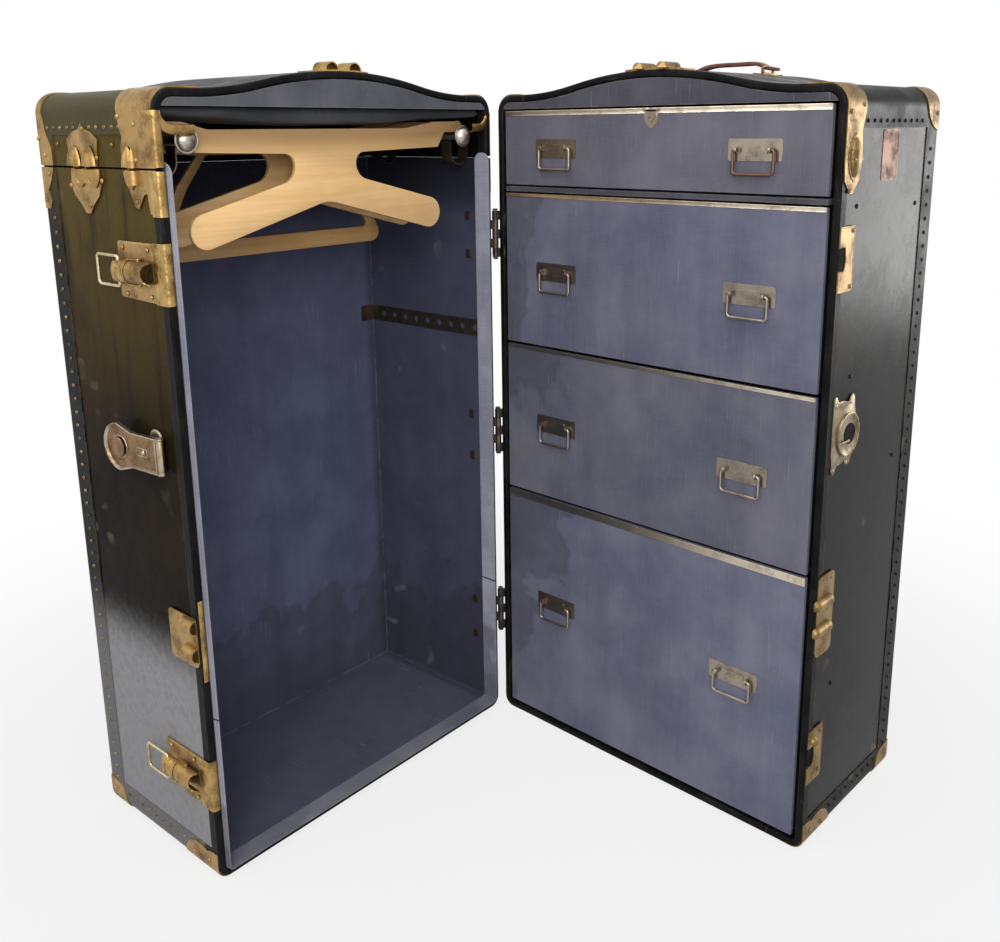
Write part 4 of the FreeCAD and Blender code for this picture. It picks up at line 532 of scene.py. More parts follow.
def saddle_leather(name, half):
    f = Finish(name, half)
    cell = f.field("TexVoronoi", "Distance", {"feature": "DISTANCE_TO_EDGE"}, Vector=f.place, Scale=0.55)
    crease, cloud = cell.ramp(0.0, 0.14), f.noise(f.place, 0.05, 4.0)
    colour = f.layers((112, 58, 42), (cloud.ramp(0.35, 0.7), (78, 38, 30)),
                      (crease.ramp(1, 0, 0, 0.5), (50, 24, 20)), (f.worn(0.002, 0.08) * 0.6, (156, 100, 74)))
    return f.made(colour, cloud.ramp(0.3, 0.7, 0.42, 0.6), (crease + cloud, 0.4, 0.0006))


front_ply = plywood_finish("varnished_plywood_front", (244, 204, 144), (228, 182, 120))
middle_ply = plywood_finish("varnished_plywood_middle", (214, 178, 124), (190, 150, 98), 410)
trouser_ply = plywood_finish("varnished_plywood_trouser", (206, 164, 106), (180, 136, 80), 930)
softwood = softwood_finish("drawer_softwood", DRAWER_HALF)
handle_leather = saddle_leather("saddle_leather", DRAWER_HALF)
print("woods and leather made")

# %% [markdown]
# Now the frame's pieces get these finishes. Each CAD piece has one slot that names its stuff, so a
# table from material to piece names covers them all, and a loop sets every slot of each piece.

# %% Finish every frame piece
dress = {}
for finish, names in (
        (fibre_right, "drawer_case"), (binding_right, "drawer_case_edging"),
        (rail_cloth, "drawer_valance dust_board"), (softwood, "drawer_runners"),
        (brass_right, "drawer_case_caps bolt_catches drawer_case_dowels carry_handle_mounts"),
        (nickel_right, "lock_receiver"), (steel_right, "hinge_leaves_drawer_side hinge_pins"),
        (handle_leather, "carry_handle"), (fibre_left, "hanging_case lift_top_shell"),
        (binding_left, "hanging_case_edging lift_top_edging"), (lining_cloth, "hanging_lining"),
        (lip_cloth, "dust_lip"), (lid_cloth, "lift_top_valance"), (cushion_cloth, "lift_top_cushion"),
        (brass_left, "hanging_case_caps hanging_case_dowel_sockets draw_bolt_bases lift_top_caps"),
        (brass_left, "lift_top_hinge_leaves_case lift_top_hinge_leaves_lid"),
        (brass_left, "upper_draw_bolt_lever lower_draw_bolt_lever"),
        (bail_brass, "upper_draw_bolt_bail lower_draw_bolt_bail"), (nickel_left, "hasp_leaf lock_hasp"),
        (steel_left, "hinge_leaves_hanging_side shoe_strap"), (rod_nickel, "rod_brackets trolley_rods"),
        (front_ply, "hanger_front"), (middle_ply, "hanger_middle"), (trouser_ply, "trouser_hanger")):
    dress.update({name: finish for name in names.split()})
for name, cloth in drawer_cloth.items():
    dress.update({f"drawer_{name}_box": softwood, f"drawer_{name}_front": cloth})
    for word in ("handle_plates", "bail_left", "bail_right"):
        dress[f"drawer_{name}_{word}"] = nickel_right
dress["drawer_one_bail_right"] = copper_plate
for name, piece in nodes.items():
    for slot in piece.material_slots:
        slot.material = dress[name]
print("bare pieces:", sorted(set(nodes) - set(dress)))

# %% [markdown]
# From here on, small pieces are modelled one by one. A few helpers keep the steps short: they pick
# pieces, open them for editing, choose faces, edges or corners by where they are, and join pieces.
# One puts a finished piece in its place, gives it its finish and ties it to the part of the trunk
# that carries it. Four matrices stand for the walls that pieces are mounted on: on each, a piece is
# drawn flat, across and up, and its third axis points out of the wall.

# %% Picking and editing
def begin(*picked):
    """Object mode, with only these pieces selected and the first of them active."""
    if bpy.context.mode != "OBJECT":
        bpy.ops.object.mode_set(mode="OBJECT")
    bpy.ops.object.select_all(action="DESELECT")
    for piece in picked:
        piece.select_set(True)
    if picked:
        bpy.context.view_layer.objects.active = picked[0]


def edit(piece=None):
    """Edit mode with everything selected, on a piece or on the one that was just made."""
    if piece:
        begin(piece)
    bpy.ops.object.mode_set(mode="EDIT")
    bpy.ops.mesh.select_all(action="SELECT")


def choose(test, kind="FACE"):
    """In edit mode, picks faces by middle and normal, edges by both ends, or corners by place."""
    bpy.ops.mesh.select_mode(type=kind)
    bpy.ops.mesh.select_all(action="DESELECT")
    mesh = bpy.context.object.data
    work = bmesh.from_edit_mesh(mesh)
    if kind == "FACE":
        for face in work.faces:
            face.select_set(bool(test(face.calc_center_median(), face.normal)))
    elif kind == "EDGE":
        for edge in work.edges:
            edge.select_set(bool(test(edge.verts[0].co, edge.verts[1].co)))
    else:
        for corner in work.verts:
            corner.select_set(bool(test(corner.co)))
    work.select_flush_mode()
    bmesh.update_edit_mesh(mesh)


def choose_top():
    choose(lambda middle, normal: normal.z > 0.9)


def push(x, y, z):
    bpy.ops.transform.translate(value=(x, y, z))


def grow(x, y, z, middle=(0, 0, 0)):
    bpy.ops.transform.resize(value=(x, y, z), center_override=middle)


def pull_out(x, y, z):
    bpy.ops.mesh.extrude_region_move(TRANSFORM_OT_translate={"value": (x, y, z)})


def inset(*steps):
    for thickness, depth in steps:
        bpy.ops.mesh.inset(thickness=thickness, depth=depth)


def round_off(width, steps=2):
    bpy.ops.mesh.bevel(offset=width, segments=steps, affect="EDGES")


def cut(place, normal, fill=False):
    """Keeps what lies on the side that the normal points to."""
    bpy.ops.mesh.bisect(plane_co=place, plane_no=normal, clear_inner=True, use_fill=fill)
    bpy.ops.mesh.select_all(action="SELECT")


def block(sizes, middle=(0, 0, 0)):
    begin()
    bpy.ops.mesh.primitive_cube_add(size=1, location=middle)
    bpy.ops.transform.resize(value=sizes)
    bpy.ops.object.transform_apply(location=True, rotation=True, scale=True)
    return bpy.context.object


def cylinder(sides, radius, depth, middle=(0, 0, 0), turn=(0, 0, 0), ends="NGON"):
    begin()
    bpy.ops.mesh.primitive_cylinder_add(vertices=sides, radius=radius, depth=depth, location=middle,
                                        rotation=turn, end_fill_type=ends)
    bpy.ops.object.transform_apply(location=True, rotation=True, scale=True)
    return bpy.context.object


def apply_modifier(piece, kind, **settings):
    begin(piece)
    modifier = piece.modifiers.new(kind.lower(), kind)
    for key, setting in settings.items():
        setattr(modifier, key, setting)
    bpy.ops.object.modifier_apply(modifier=modifier.name)
    return piece


print("modelling helpers ready")


# %% Placing and joining
def at(x, y, z):
    return Matrix.Translation((x, y, z))


def move(piece, place):
    """Moves a piece that is still being built."""
    begin()
    piece.matrix_world = place @ piece.matrix_world
    return piece


def weld(pieces):
    """Joins pieces, each where it stands, into the first."""
    begin(*pieces)
    bpy.ops.object.join()
    return pieces[0]


def settle(piece, name, place, material, body, smooth=38):
    """Puts a piece drawn in millimetres in its place and gives it its finish and its body."""
    begin(piece)
    piece.name = piece.data.name = name
    piece.matrix_world = place @ piece.matrix_world
    bpy.ops.object.transform_apply(location=True, rotation=True, scale=True)
    bpy.ops.object.shade_smooth_by_angle(angle=math.radians(smooth))
    piece.data.materials.clear()
    piece.data.materials.append(material)
    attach(piece, body)
    return piece


print("pieces can be placed")


# %% The walls that pieces stand on
def outer_wall(x):
    """The side wall away from the hinge: across is y, up is z."""
    return Matrix(((0, 0, 1, x), (1, 0, 0, 0), (0, 1, 0, 0), (0, 0, 0, 1)))


def hinge_wall(x):
    """The side wall at the hinge, seen from outside: across is minus y."""
    return Matrix(((0, 0, -1, x), (-1, 0, 0, 0), (0, 1, 0, 0), (0, 0, 0, 1)))


def facing_front(y):
    """A face that looks towards minus y: across is x, up is z."""
    return Matrix(((1, 0, 0, 0), (0, 0, -1, y), (0, 1, 0, 0), (0, 0, 0, 1)))


def facing_back(y):
    """A face that looks towards plus y: across is minus x, up is z."""
    return Matrix(((-1, 0, 0, 0), (0, 0, 1, y), (0, 1, 0, 0), (0, 0, 0, 1)))


print("four walls ready")

# %% [markdown]
# Stamped plates, hangers and straps all start as an outline with rounded parts. It is written as
# corners, and a corner that is followed by an arc also says the arc's radius and which way it turns.

# %% Outlines with arcs
def curved(corners, step=16):
    """Corners (across, up) or (across, up, radius, turn) as points along lines and arcs."""
    points = []
    for number, (across, up, *arc) in enumerate(corners):
        points.append((across, up))
        if arc:
            here, there = Vector((across, up)), Vector(corners[(number + 1) % len(corners)][:2])
            along = there - here
            rise = math.sqrt(max(0.0, arc[0] ** 2 - along.length_squared / 4))
            centre = (here + there) / 2 + arc[1] * rise * Vector((-along.y, along.x)).normalized()
            start, end = here - centre, there - centre
            first = math.atan2(start.y, start.x)
            sweep = (math.atan2(end.y, end.x) - first + math.pi) % math.tau - math.pi
            parts = max(2, round(abs(math.degrees(sweep)) / step))
            for part in range(1, parts):
                angle = first + sweep * part / parts
                points.append(tuple(centre + arc[0] * Vector((math.cos(angle), math.sin(angle)))))
    return points


def corner_box(left, right, low, high, radius):
    """Corners of a rectangle with rounded corners."""
    return [(left + radius, low), (right - radius, low, radius, 1), (right, low + radius),
            (right, high - radius, radius, 1), (right - radius, high), (left + radius, high, radius, 1),
            (left, high - radius), (left, low + radius, radius, 1)]


def face_up(piece):
    """Turns flat faces so that they look along the third axis."""
    bpy.ops.mesh.normals_make_consistent(inside=False)
    work = bmesh.from_edit_mesh(piece.data)
    work.faces.ensure_lookup_table()
    if work.faces[0].normal.z < 0:
        bpy.ops.mesh.flip_normals()


def flat_outline(points):
    """A filled flat outline through (across, up) corners, open for editing."""
    begin()
    bpy.ops.mesh.primitive_circle_add(vertices=len(points), radius=1, fill_type="NGON")
    piece = bpy.context.object
    for corner, (across, up) in zip(piece.data.vertices, points):
        corner.co = (across, up, 0)
    edit()
    face_up(piece)
    return piece


def stamp(corners, thick, soft=0.3, rim=0.0, rim_width=0.0):
    """A stamped sheet: outline, thickness, a rim or sunk field, and a softened front edge."""
    piece = flat_outline(curved(corners))
    pull_out(0, 0, thick)
    if rim_width:
        inset((rim_width, 0), (abs(rim) * 0.9, rim))
    choose(lambda a, b: abs(a.z - thick) < 0.01 and abs(b.z - thick) < 0.01, "EDGE")
    if soft:
        round_off(soft)
    return piece


def ring(centre, radius, wire, flat=0.7):
    """A rolled ring that lies on a plate."""
    begin()
    bpy.ops.mesh.primitive_torus_add(major_radius=radius, minor_radius=wire, major_segments=36,
                                     minor_segments=8, location=(*centre, 0))
    bpy.ops.transform.resize(value=(1, 1, flat))
    return bpy.context.object


print("outline helpers ready")

# %% [markdown]
# Hundreds of small domed nails hold the binding. One nail is enough to model: a ball of few faces
# is cut by a plane, so that a low cap is left, and the cap is pressed to its height. The rows are
# copies of it. Some nails have sunk or tipped a little, which a sine of their number gives.

# %% One nail, one rivet
def stud(radius, height, sides):
    """A dome, pressed about its middle: a low one ends just above its plate, a tall one reaches in."""
    begin()
    bpy.ops.mesh.primitive_uv_sphere_add(segments=sides, ring_count=8, radius=radius)
    head = bpy.context.object
    edit()
    cut((0, 0, radius * 0.35), (0, 0, 1))
    push(0, 0, -radius * 0.35)
    bpy.ops.transform.resize(value=(1, 1, height / (radius * 0.65)))
    choose(lambda place: place.z < 0.01, "VERT")
    bpy.ops.mesh.extrude_edges_move(TRANSFORM_OT_translate={"value": (0, 0, -0.5)})
    begin()
    return head


nail = stud(3.1, 1.8, 9)
rivet = stud(3.4, 1.7, 14)
print("nail has", len(nail.data.polygons), "faces, rivet", len(rivet.data.polygons))


# %% Rows of copies
def set_studs(name, head, spots, place, material, body):
    """Copies of a stud at (across, up) spots on a wall, joined into one piece."""
    copies = []
    for number, (across, up) in enumerate(spots):
        copy = bpy.data.objects.new(name, head.data.copy())
        bpy.context.scene.collection.objects.link(copy)
        sway, sunk = 0.5 * math.sin(number * 1.9), 0.06 * math.sin(number * 5.3)
        lean = Matrix.Rotation(0.1 * math.sin(number * 2.7), 4, "X")
        copy.matrix_world = at(across + sway, up, sunk) @ lean
        copies.append(copy)
    bpy.context.view_layer.update()
    return settle(weld(copies), name, place, material, body)


def run(start, end, step=18.7):
    """Evenly spaced places from start to end, about step apart."""
    count = max(1, round(abs(end - start) / step))
    return [start + (end - start) * number / count for number in range(count + 1)]


def side_rows(high):
    return [(256, up) for up in run(46, high)] + [(across, 30) for across in run(82, 226)]


def back_rows(high):
    return [(across, up) for across in (34, 540) for up in run(60, high)] + [(x, 26) for x in run(62, 512)]


def crown_row(across):
    return [(place, 974.5) for place in across]


WALL_OUT, WALL_IN, BACK = 566.2, 7.8, 281.2
lid_side = crown_row((77, 92, 109, 128, 145, 183, 198, 217, 233, 249)) + [(96, 954), (228, 955)]
for sign, word, body, outer, hinge, back in (
        (-1, "hanging", "hanging_half", side_rows(862), side_rows(862), back_rows(862)),
        (1, "drawer", "drawer_half", side_rows(938), side_rows(938), back_rows(920)),
        (-1, "lid", "lift_top", lid_side, crown_row(run(60, 236)), crown_row(run(64, 510))),
        (1, "drawer_top", "drawer_half", crown_row(run(60, 222)), crown_row(run(52, 222)),
         crown_row(run(64, 510)))):
    half, finish, ink = DRAWER_HALF, binding_right, "black_binding"
    back_wall = facing_back(BACK)
    if sign < 0:
        half, finish, ink = HANGING_HALF, dark_nails, "brass"
        back_wall = facing_front(-BACK)
    for where, wall, flip, spots in (("outer_side", outer_wall(WALL_OUT), sign, outer),
                                     ("hinge_side", hinge_wall(WALL_IN), -sign, hinge),
                                     ("back", back_wall, -sign, back)):
        spots = [(flip * across, up) for across, up in spots]
        set_studs(f"nails_{word}_{where}", nail, spots, half @ wall, finish, body)
print("nail rows set")

# %% [markdown]
# The brass plates are fixed with larger round rivets, one near each point or lobe of a plate. They
# stand on the face of the sheet, which is a plate's thickness in front of the binding.

# %% Rivets on the fittings
FACE = 567.7
rivets = {
    "rivets_lid_brackets": ("lift_top", HANGING_HALF, brass_left, FACE, [
        (-75, 986), (-43, 977), (-43, 937), (-159, 973), (-131, 939), (-192, 939), (-272, 962), (-262, 941)]),
    "rivets_case_brackets": ("hanging_half", HANGING_HALF, brass_left, FACE, [
        (-48, 890), (-124, 912), (-156, 882), (-199, 905), (-256, 918), (-270, 884), (-22, 24), (-58, 20),
        (-262, 26)]),
    "rivets_bolts": ("hanging_half", HANGING_HALF, brass_left, FACE + 1, [
        (-90, 835), (-36, 835), (-88, 780), (-34, 780), (-90, 169), (-36, 169), (-88, 114), (-34, 114)]),
    "rivets_receiver": ("drawer_half", DRAWER_HALF, nickel_right, FACE, [
        (20, 630), (59, 628), (57, 548), (20, 545)]),
    "rivets_drawer_side": ("drawer_half", DRAWER_HALF, brass_right, FACE, [
        (11, 985), (44, 993), (17, 893), (267, 984), (22, 22), (56, 18), (264, 26),
        (36, 846), (36, 778), (38, 396), (20, 296), (36, 172), (36, 112)]),
    "rivets_drawer_panel": ("drawer_half", DRAWER_HALF, binding_right, 565, [
        (46, 874), (220, 868), (60, 660), (210, 520), (62, 230)]),
}
for name, (body, half, finish, x, spots) in rivets.items():
    set_studs(name, rivet, spots, half @ outer_wall(x), finish, body)
print(sum(len(entry[4]) for entry in rivets.values()), "rivets set")

# %% [markdown]
# Each drawer's top edge carries a strip of nickel, rolled over the board. A bar is enough to start:
# its front corner is rounded into a bead, and a long inset groove is pressed below the bead. The
# bottom drawer's strip is the widest.

# %% Nickel strips on the drawers
LEFT, RIGHT = 24.6, 549.4
for name, top, tall in (("one", 994, 7.0), ("two", 874, 5.5), ("three", 640, 5.0), ("four", 399, 11.0)):
    strip = block((RIGHT - LEFT, 1.1, tall), ((LEFT + RIGHT) / 2, 0.75, top - tall / 2 + 0.3))
    edit()
    choose(lambda middle, normal: normal.y < -0.9)
    inset((tall * 0.28, -0.25))
    choose(lambda a, b: min(a.y, b.y) < 0.3 and min(a.z, b.z) > top, "EDGE")
    round_off(0.45, 3)
    choose(lambda a, b: a.x == b.x and a.z == b.z and abs(a.y - b.y) > 0.5, "EDGE")
    round_off(0.6)
    settle(strip, f"drawer_{name}_strip", DRAWER_HALF, strip_nickel, f"drawer_{name}")
print("strips fitted")

# %% [markdown]
# The top drawer locks. Its keyhole plate is a small pressed shield with a rim, and the keyhole is
# a round boss with a sunk middle. A bare copper name plate sits high on the drawer half's side. Its corners
# are clipped, and its edge is turned up slightly by an inset.

# %% Keyhole plate and bare copper plate
shield = stamp([(-13, 14), (-15, 11), (-11, 8), (-12, 2), (-9, -5), (-4, -10), (0, -13), (4, -10), (9, -5),
                (12, 2), (11, 8), (15, 11), (13, 14), (5, 12), (0, 15), (-5, 12)], 0.7, 0, 0.5, 2.0)
boss = cylinder(20, 3.6, 0.9, (0, 1, 1.5))
edit()
choose_top()
inset((1.0, 0), (0.1, -0.8))
settle(weld([shield, boss]), "drawer_one_keyhole_plate", DRAWER_HALF @ at(292, 0, 980) @ facing_front(0.8),
       nickel_right, "drawer_one")
plate = stamp([(-23, -28), (-20, -31), (20, -31), (23, -28), (23, 28), (20, 31), (-20, 31), (-23, 28)],
              0.6, 0, -0.3, 1.6)
settle(plate, "bare_copper_plate", DRAWER_HALF @ outer_wall(565) @ at(131, 933, 0), copper_plate,
       "drawer_half")
print("keyhole and copper plates fitted")

# %% [markdown]
# The hangers are sawn from six millimetre plywood. Each one is a single outline: a bar with raised
# ends that rides on both rods, and below it arms with round ends, or a closed loop for trousers.
# The sawn edges are softened with a bevel on both faces.

# %% Hangers
BAR, TAB, PLY = 944, 964.8, 6
bar_top = [(549, TAB + 13, 8, 1), (539, TAB + 15.5), (517, TAB + 15), (485, TAB + 6), (165, TAB + 6),
           (107, TAB + 15), (59, TAB + 15.5, 8, 1), (49, TAB + 13), (47, TAB), (85, TAB), (99, BAR)]
bar_end = [(504, BAR), (512, TAB), (551, TAB)]
arms = [(242, 940, 15, -1), (257, 925, 22, -1), (240.3, 903.7), (113, 871.5, 21.9, 1), (123.8, 829.3),
        (296, 874.8, 48, -1), (320, 874.8), (492.2, 829.3, 21.9, 1), (503, 871.5), (375.7, 903.7, 22, -1),
        (359, 925, 15, -1), (374, 940)]
loop = [(190, 938), (158, 900), (117.2, 824.7, 15.2, 1), (130.1, 802), (485.9, 802, 15.2, 1),
        (498.8, 824.7), (458, 900), (426, 938)]
window = [(204, 938), (172, 896), (140, 834, 8, 1), (148, 826), (468, 826, 8, 1), (476, 834), (444, 896),
          (412, 938)]


def hanger(name, depth, corners, hole, material):
    """A plywood hanger; where it has a window, a frame of two outlines is filled."""
    piece = flat_outline(curved(corners))
    if hole:
        edit(weld([piece, flat_outline(curved(hole))]))
        bpy.ops.mesh.delete(type="ONLY_FACE")
        bpy.ops.mesh.select_all(action="SELECT")
        bpy.ops.mesh.fill()
        face_up(piece)
    bpy.ops.mesh.select_all(action="SELECT")
    pull_out(0, 0, PLY)
    work = bmesh.from_edit_mesh(piece.data)
    for edge in work.edges:
        flat = abs(edge.verts[0].co.z - edge.verts[1].co.z) < 0.01
        sides = [face for face in edge.link_faces if abs(face.normal.z) < 0.5]
        edge.select_set(flat and len(sides) == 1)
    bmesh.update_edit_mesh(piece.data)
    round_off(1.1)
    piece = settle(piece, name + "_sawn", HANGING_HALF @ facing_front(-depth), material, name, 40)
    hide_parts(name)


hanger("hanger_front", 22, bar_top + arms + bar_end, None, front_ply)
hanger("hanger_middle", 78, bar_top + arms + bar_end, None, middle_ply)
hanger("trouser_hanger", 140, bar_top + loop + bar_end, window, trouser_ply)
print("hangers sawn")

# %% [markdown]
# The rods hang in sprung steel straps, bent into a U against each side wall. A strap is the outline
# of a bent sheet, pulled out to its width. A low dome with a rolled rim closes each rod.

# %% Rod straps and knobs
RODS, ROD_HIGH = (55, 519), 959
STRAP_TOP, STRAP_LOW, STRAP_THICK = 953, 934, 1.6
straps = []
for wall, rod, way in ((18, RODS[0], 1), (556, RODS[1], -1)):
    limb, thick = rod + way, STRAP_THICK * way
    bend = abs(limb - wall) / 2 + 0.01
    sheet = [(wall, STRAP_TOP), (wall, STRAP_LOW, bend, way), (limb, STRAP_LOW), (limb, STRAP_TOP),
             (limb - thick, STRAP_TOP), (limb - thick, STRAP_LOW, bend - STRAP_THICK, -way),
             (wall + thick, STRAP_LOW), (wall + thick, STRAP_TOP)]
    for depth in (38, 196):
        strap = flat_outline(curved(sheet, 12))
        pull_out(0, 0, 20)
        straps.append(move(strap, facing_front(-depth)))
straps = settle(weld(straps), "rod_straps", HANGING_HALF, steel_left, "hanging_half")
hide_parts("rod_brackets")
for word, rod in zip(("hinge", "outer"), RODS):
    settle(weld([stud(14.8, 9.2, 36), ring((0, 0), 14.6, 1.2)]), f"rod_knob_{word}",
           HANGING_HALF @ at(rod, 0, ROD_HIGH) @ facing_back(-13.4), rod_nickel, "trolley")
print("straps bent, knobs set")

# %% [markdown]
# The lock's hasp is a stamped tray. Its outline is a round cup on a short neck. The rim is made by
# insetting the raised sheet and sinking the field, and a swivel disc and a slot lie in the field.
# It turns on its barrel, so it is drawn about the pin and leans a little off the wall, as it hangs.

# %% Hasp
LEAN, CUP = math.radians(4), -81
hasp_pin = HANGING_HALF @ at(573.7, -38, 585) @ Matrix.Rotation(LEAN, 4, "Z") @ outer_wall(0)


def hasp_outline(inner):
    """The cup and neck of the hasp, or the same form drawn in by some millimetres."""
    cup, neck = 31 - inner, 23 - inner
    return [(-3 - inner, -neck), (-3 - inner, neck), (-52, neck), (-57, neck + 1), (CUP, cup, cup, 1),
            (CUP - cup, 0, cup, 1), (CUP, -cup), (-57, -neck - 1), (-52, -neck)]


def cross_pin(sides, radius, length, soft, middle=0):
    """A pin that lies across, with softened ends."""
    pin = cylinder(sides, radius, length, (0, middle, 0), (math.pi / 2, 0, 0))
    edit()
    choose(lambda a, b: abs(a.y - b.y) < 0.01, "EDGE")
    round_off(soft)
    return pin


tray = flat_outline(curved(hasp_outline(0), 10))
pull_out(0, 0, 6)
inset((1.6, 0), (1.8, -3.2))
choose(lambda a, b: abs(a.z - 6) < 0.01 and abs(b.z - 6) < 0.01, "EDGE")
round_off(0.5)
field = stamp(hasp_outline(3.4), 0.3, 0)
disc = stud(13.8, 1.8, 32)
edit(disc)
choose(lambda middle, normal: normal.z > 0.97)
inset((1.2, -0.3))
edge = ring((CUP, 0), 14.4, 1.0)
slot = stamp(corner_box(-46, -24, -5.5, 5.5, 2), 0.5, 0)
choose_top()
inset((1.1, 0.2), (0.3, -2.2))
tab = stud(4.2, 3.4, 16)
for piece, across, out in ((tray, 0, -0.6), (field, 0, 2.2), (disc, CUP, 2.0), (edge, 0, 2.4),
                           (slot, 0, 2.1), (tab, -32, 2.2)):
    move(piece, at(across, 0, out))
barrels = [cross_pin(24, radius, length, 0.5, middle)
           for middle, length, radius in ((0, 42, 4.6), (-22, 3, 5.4), (22, 3, 5.4))]
hasp = settle(weld([tray, edge, slot, tab] + barrels), "lock_hasp_tray", hasp_pin, nickel_left,
              "lock_hasp")
settle(weld([field, disc]), "lock_hasp_field", hasp_pin, hasp_copper, "lock_hasp")
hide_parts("lock_hasp")
leaf = stamp([(-42.5, 562), (-42.5, 604, 13.7, 1), (-69.5, 604), (-69.5, 562)], 1.6, 0.5, 0.4, 1.6)
settle(leaf, "hasp_leaf_lobe", HANGING_HALF @ outer_wall(WALL_OUT), nickel_left, "hanging_half")
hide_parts("hasp_leaf")
print("hasp stamped")

# %% [markdown]
# The receiver on the other half has four lugs and a dished middle with an opening, which the turning
# bolt of the hasp enters. The lugged outline is stamped first. The dish is a disc whose top is inset
# and sunk in steps, and a near-black disc at its bottom is painted shade for the hollow behind the opening.

# %% Receiver
lugged = [(15, 599), (15, 569), (18, 551), (17, 543), (21, 538), (26, 539), (31, 548), (54, 550), (62, 544),
          (68, 545), (71, 555), (79, 562, 31, 1), (79, 608), (74, 619), (73, 631), (68, 637), (63, 635),
          (58, 628), (42, 632), (28, 633), (21, 641), (16, 639), (16, 629)]
sheet = stamp(lugged, 1.5, 0.4)
dish = cylinder(40, 29.5, 3.2, (57, 585, 2.6))
edit()
choose_top()
inset((2.6, 0), (2.4, -1.2), (6.0, -0.9), (4.0, -0.2))
push(3.0, 0, 0)
inset((1.0, -1.6))
choose(lambda a, b: min(a.z, b.z) > 4.1, "EDGE")
round_off(0.45)
bridge = move(stamp(corner_box(32, 60, 574.5, 578.5, 1.8), 1.4, 0.5), at(0, 0, 3.0))
cup = settle(weld([sheet, dish, bridge]), "lock_receiver_plate", DRAWER_HALF @ outer_wall(WALL_OUT),
             receiver_nickel, "drawer_half")
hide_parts("lock_receiver")
# A near-black disc behind the opening: painted shade in the hollow.
hollow = stamp([(72, 574, 14, 1), (72, 596, 16, 1), (50, 593, 12, 1), (50, 577, 16, 1)], 0.3, 0)
settle(hollow, "lock_receiver_painted_shade", DRAWER_HALF @ outer_wall(568.3), painted_shade_dark, "drawer_half")
print("receiver stamped")

# %% [markdown]
# A draw bolt is a winged plate, a half-round lever between two ears, and a wire bail. The lever is
# half a tube whose ends are drawn in to a hollow curve, thickened, with a rib round its middle.

# %% Draw bolts
BOLTS = {"upper": 808, "lower": 142}
plates = []
for middle in BOLTS.values():
    wings = stamp([(-100, middle - 33), (-24, middle - 35), (-24, middle + 35), (-98, middle + 35, 4, 1),
                   (-102, middle + 31), (-102, middle + 14), (-94, middle + 12), (-94, middle - 14),
                   (-103, middle - 16), (-103, middle - 30, 4, 1)], 1.6, 0.5, 0.35, 1.8)
    plates.append(move(wings, outer_wall(WALL_OUT)))


def bolt_pin(middle):
    """Where a lever turns; it is drawn about this place."""
    return at(572.7, -50, middle) @ outer_wall(0)


def saddle(radius, front, back, front_hollow, back_hollow):
    """Half a tube on top of its plate, from front to back, with ends drawn in to a hollow curve."""
    tube = cylinder(32, radius, front - back, ((front + back) / 2, 0, 0), (0, math.pi / 2, 0), "NOTHING")
    edit()
    cut((0, 0, -1.5), (0, 0, 1))
    for end, way, hollow in ((front, -1, front_hollow), (back, 1, back_hollow)):
        for low, share in ((0.35, 0.5), (0.7, 0.3), (0.9, 0.2)):
            choose(lambda place: abs(place.x - end) < hollow * 1.1 and place.z > radius * low, "VERT")
            push(way * hollow * share, 0, 0)
    bpy.ops.mesh.select_all(action="SELECT")
    grow(1, 1, 0.8)
    return apply_modifier(tube, "SOLIDIFY", thickness=1.3, offset=-1)


for middle in BOLTS.values():
    for ends in ((13.6, 25, -16.2, 6, 0), (14.1, -3, -7.5, 0.3, 0.3)):
        plates.append(move(saddle(*ends), bolt_pin(middle)))
plates = settle(weld(plates), "draw_bolt_plates", HANGING_HALF, brass_left, "hanging_half")
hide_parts("draw_bolt_bases")
for word, middle in BOLTS.items():
    parts = [saddle(14.6, -17, -50, 0, 7), saddle(15.3, -34, -38, 0.3, 0.3), cross_pin(16, 2.2, 34, 0.6)]
    for sign in (-1, 1):
        arm = stamp([(-22, -2.2), (0, -2.6, 2.6, 1), (0, 2.6), (-22, 2.2)], 1.2, 0.2)
        parts.append(move(arm, at(0, sign * 15 + 0.6, 0) @ Matrix.Rotation(math.pi / 2, 4, "X")))
    lever = settle(weld(parts), f"{word}_bolt_lever_arch", HANGING_HALF @ bolt_pin(middle), beaten_brass,
                   f"{word}_draw_bolt_lever", 35)
    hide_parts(f"{word}_draw_bolt_lever")
print("draw bolts fitted")

# %% [markdown]
# Brass is wrapped round the rim beside the bolts and at the upper corner. The section of such a wrap
# is one thin outline. It is pulled up, spun round the shoulder of the box and pulled on over the top,
# and a hammered finish gives it the dents of the mallet that shaped it.

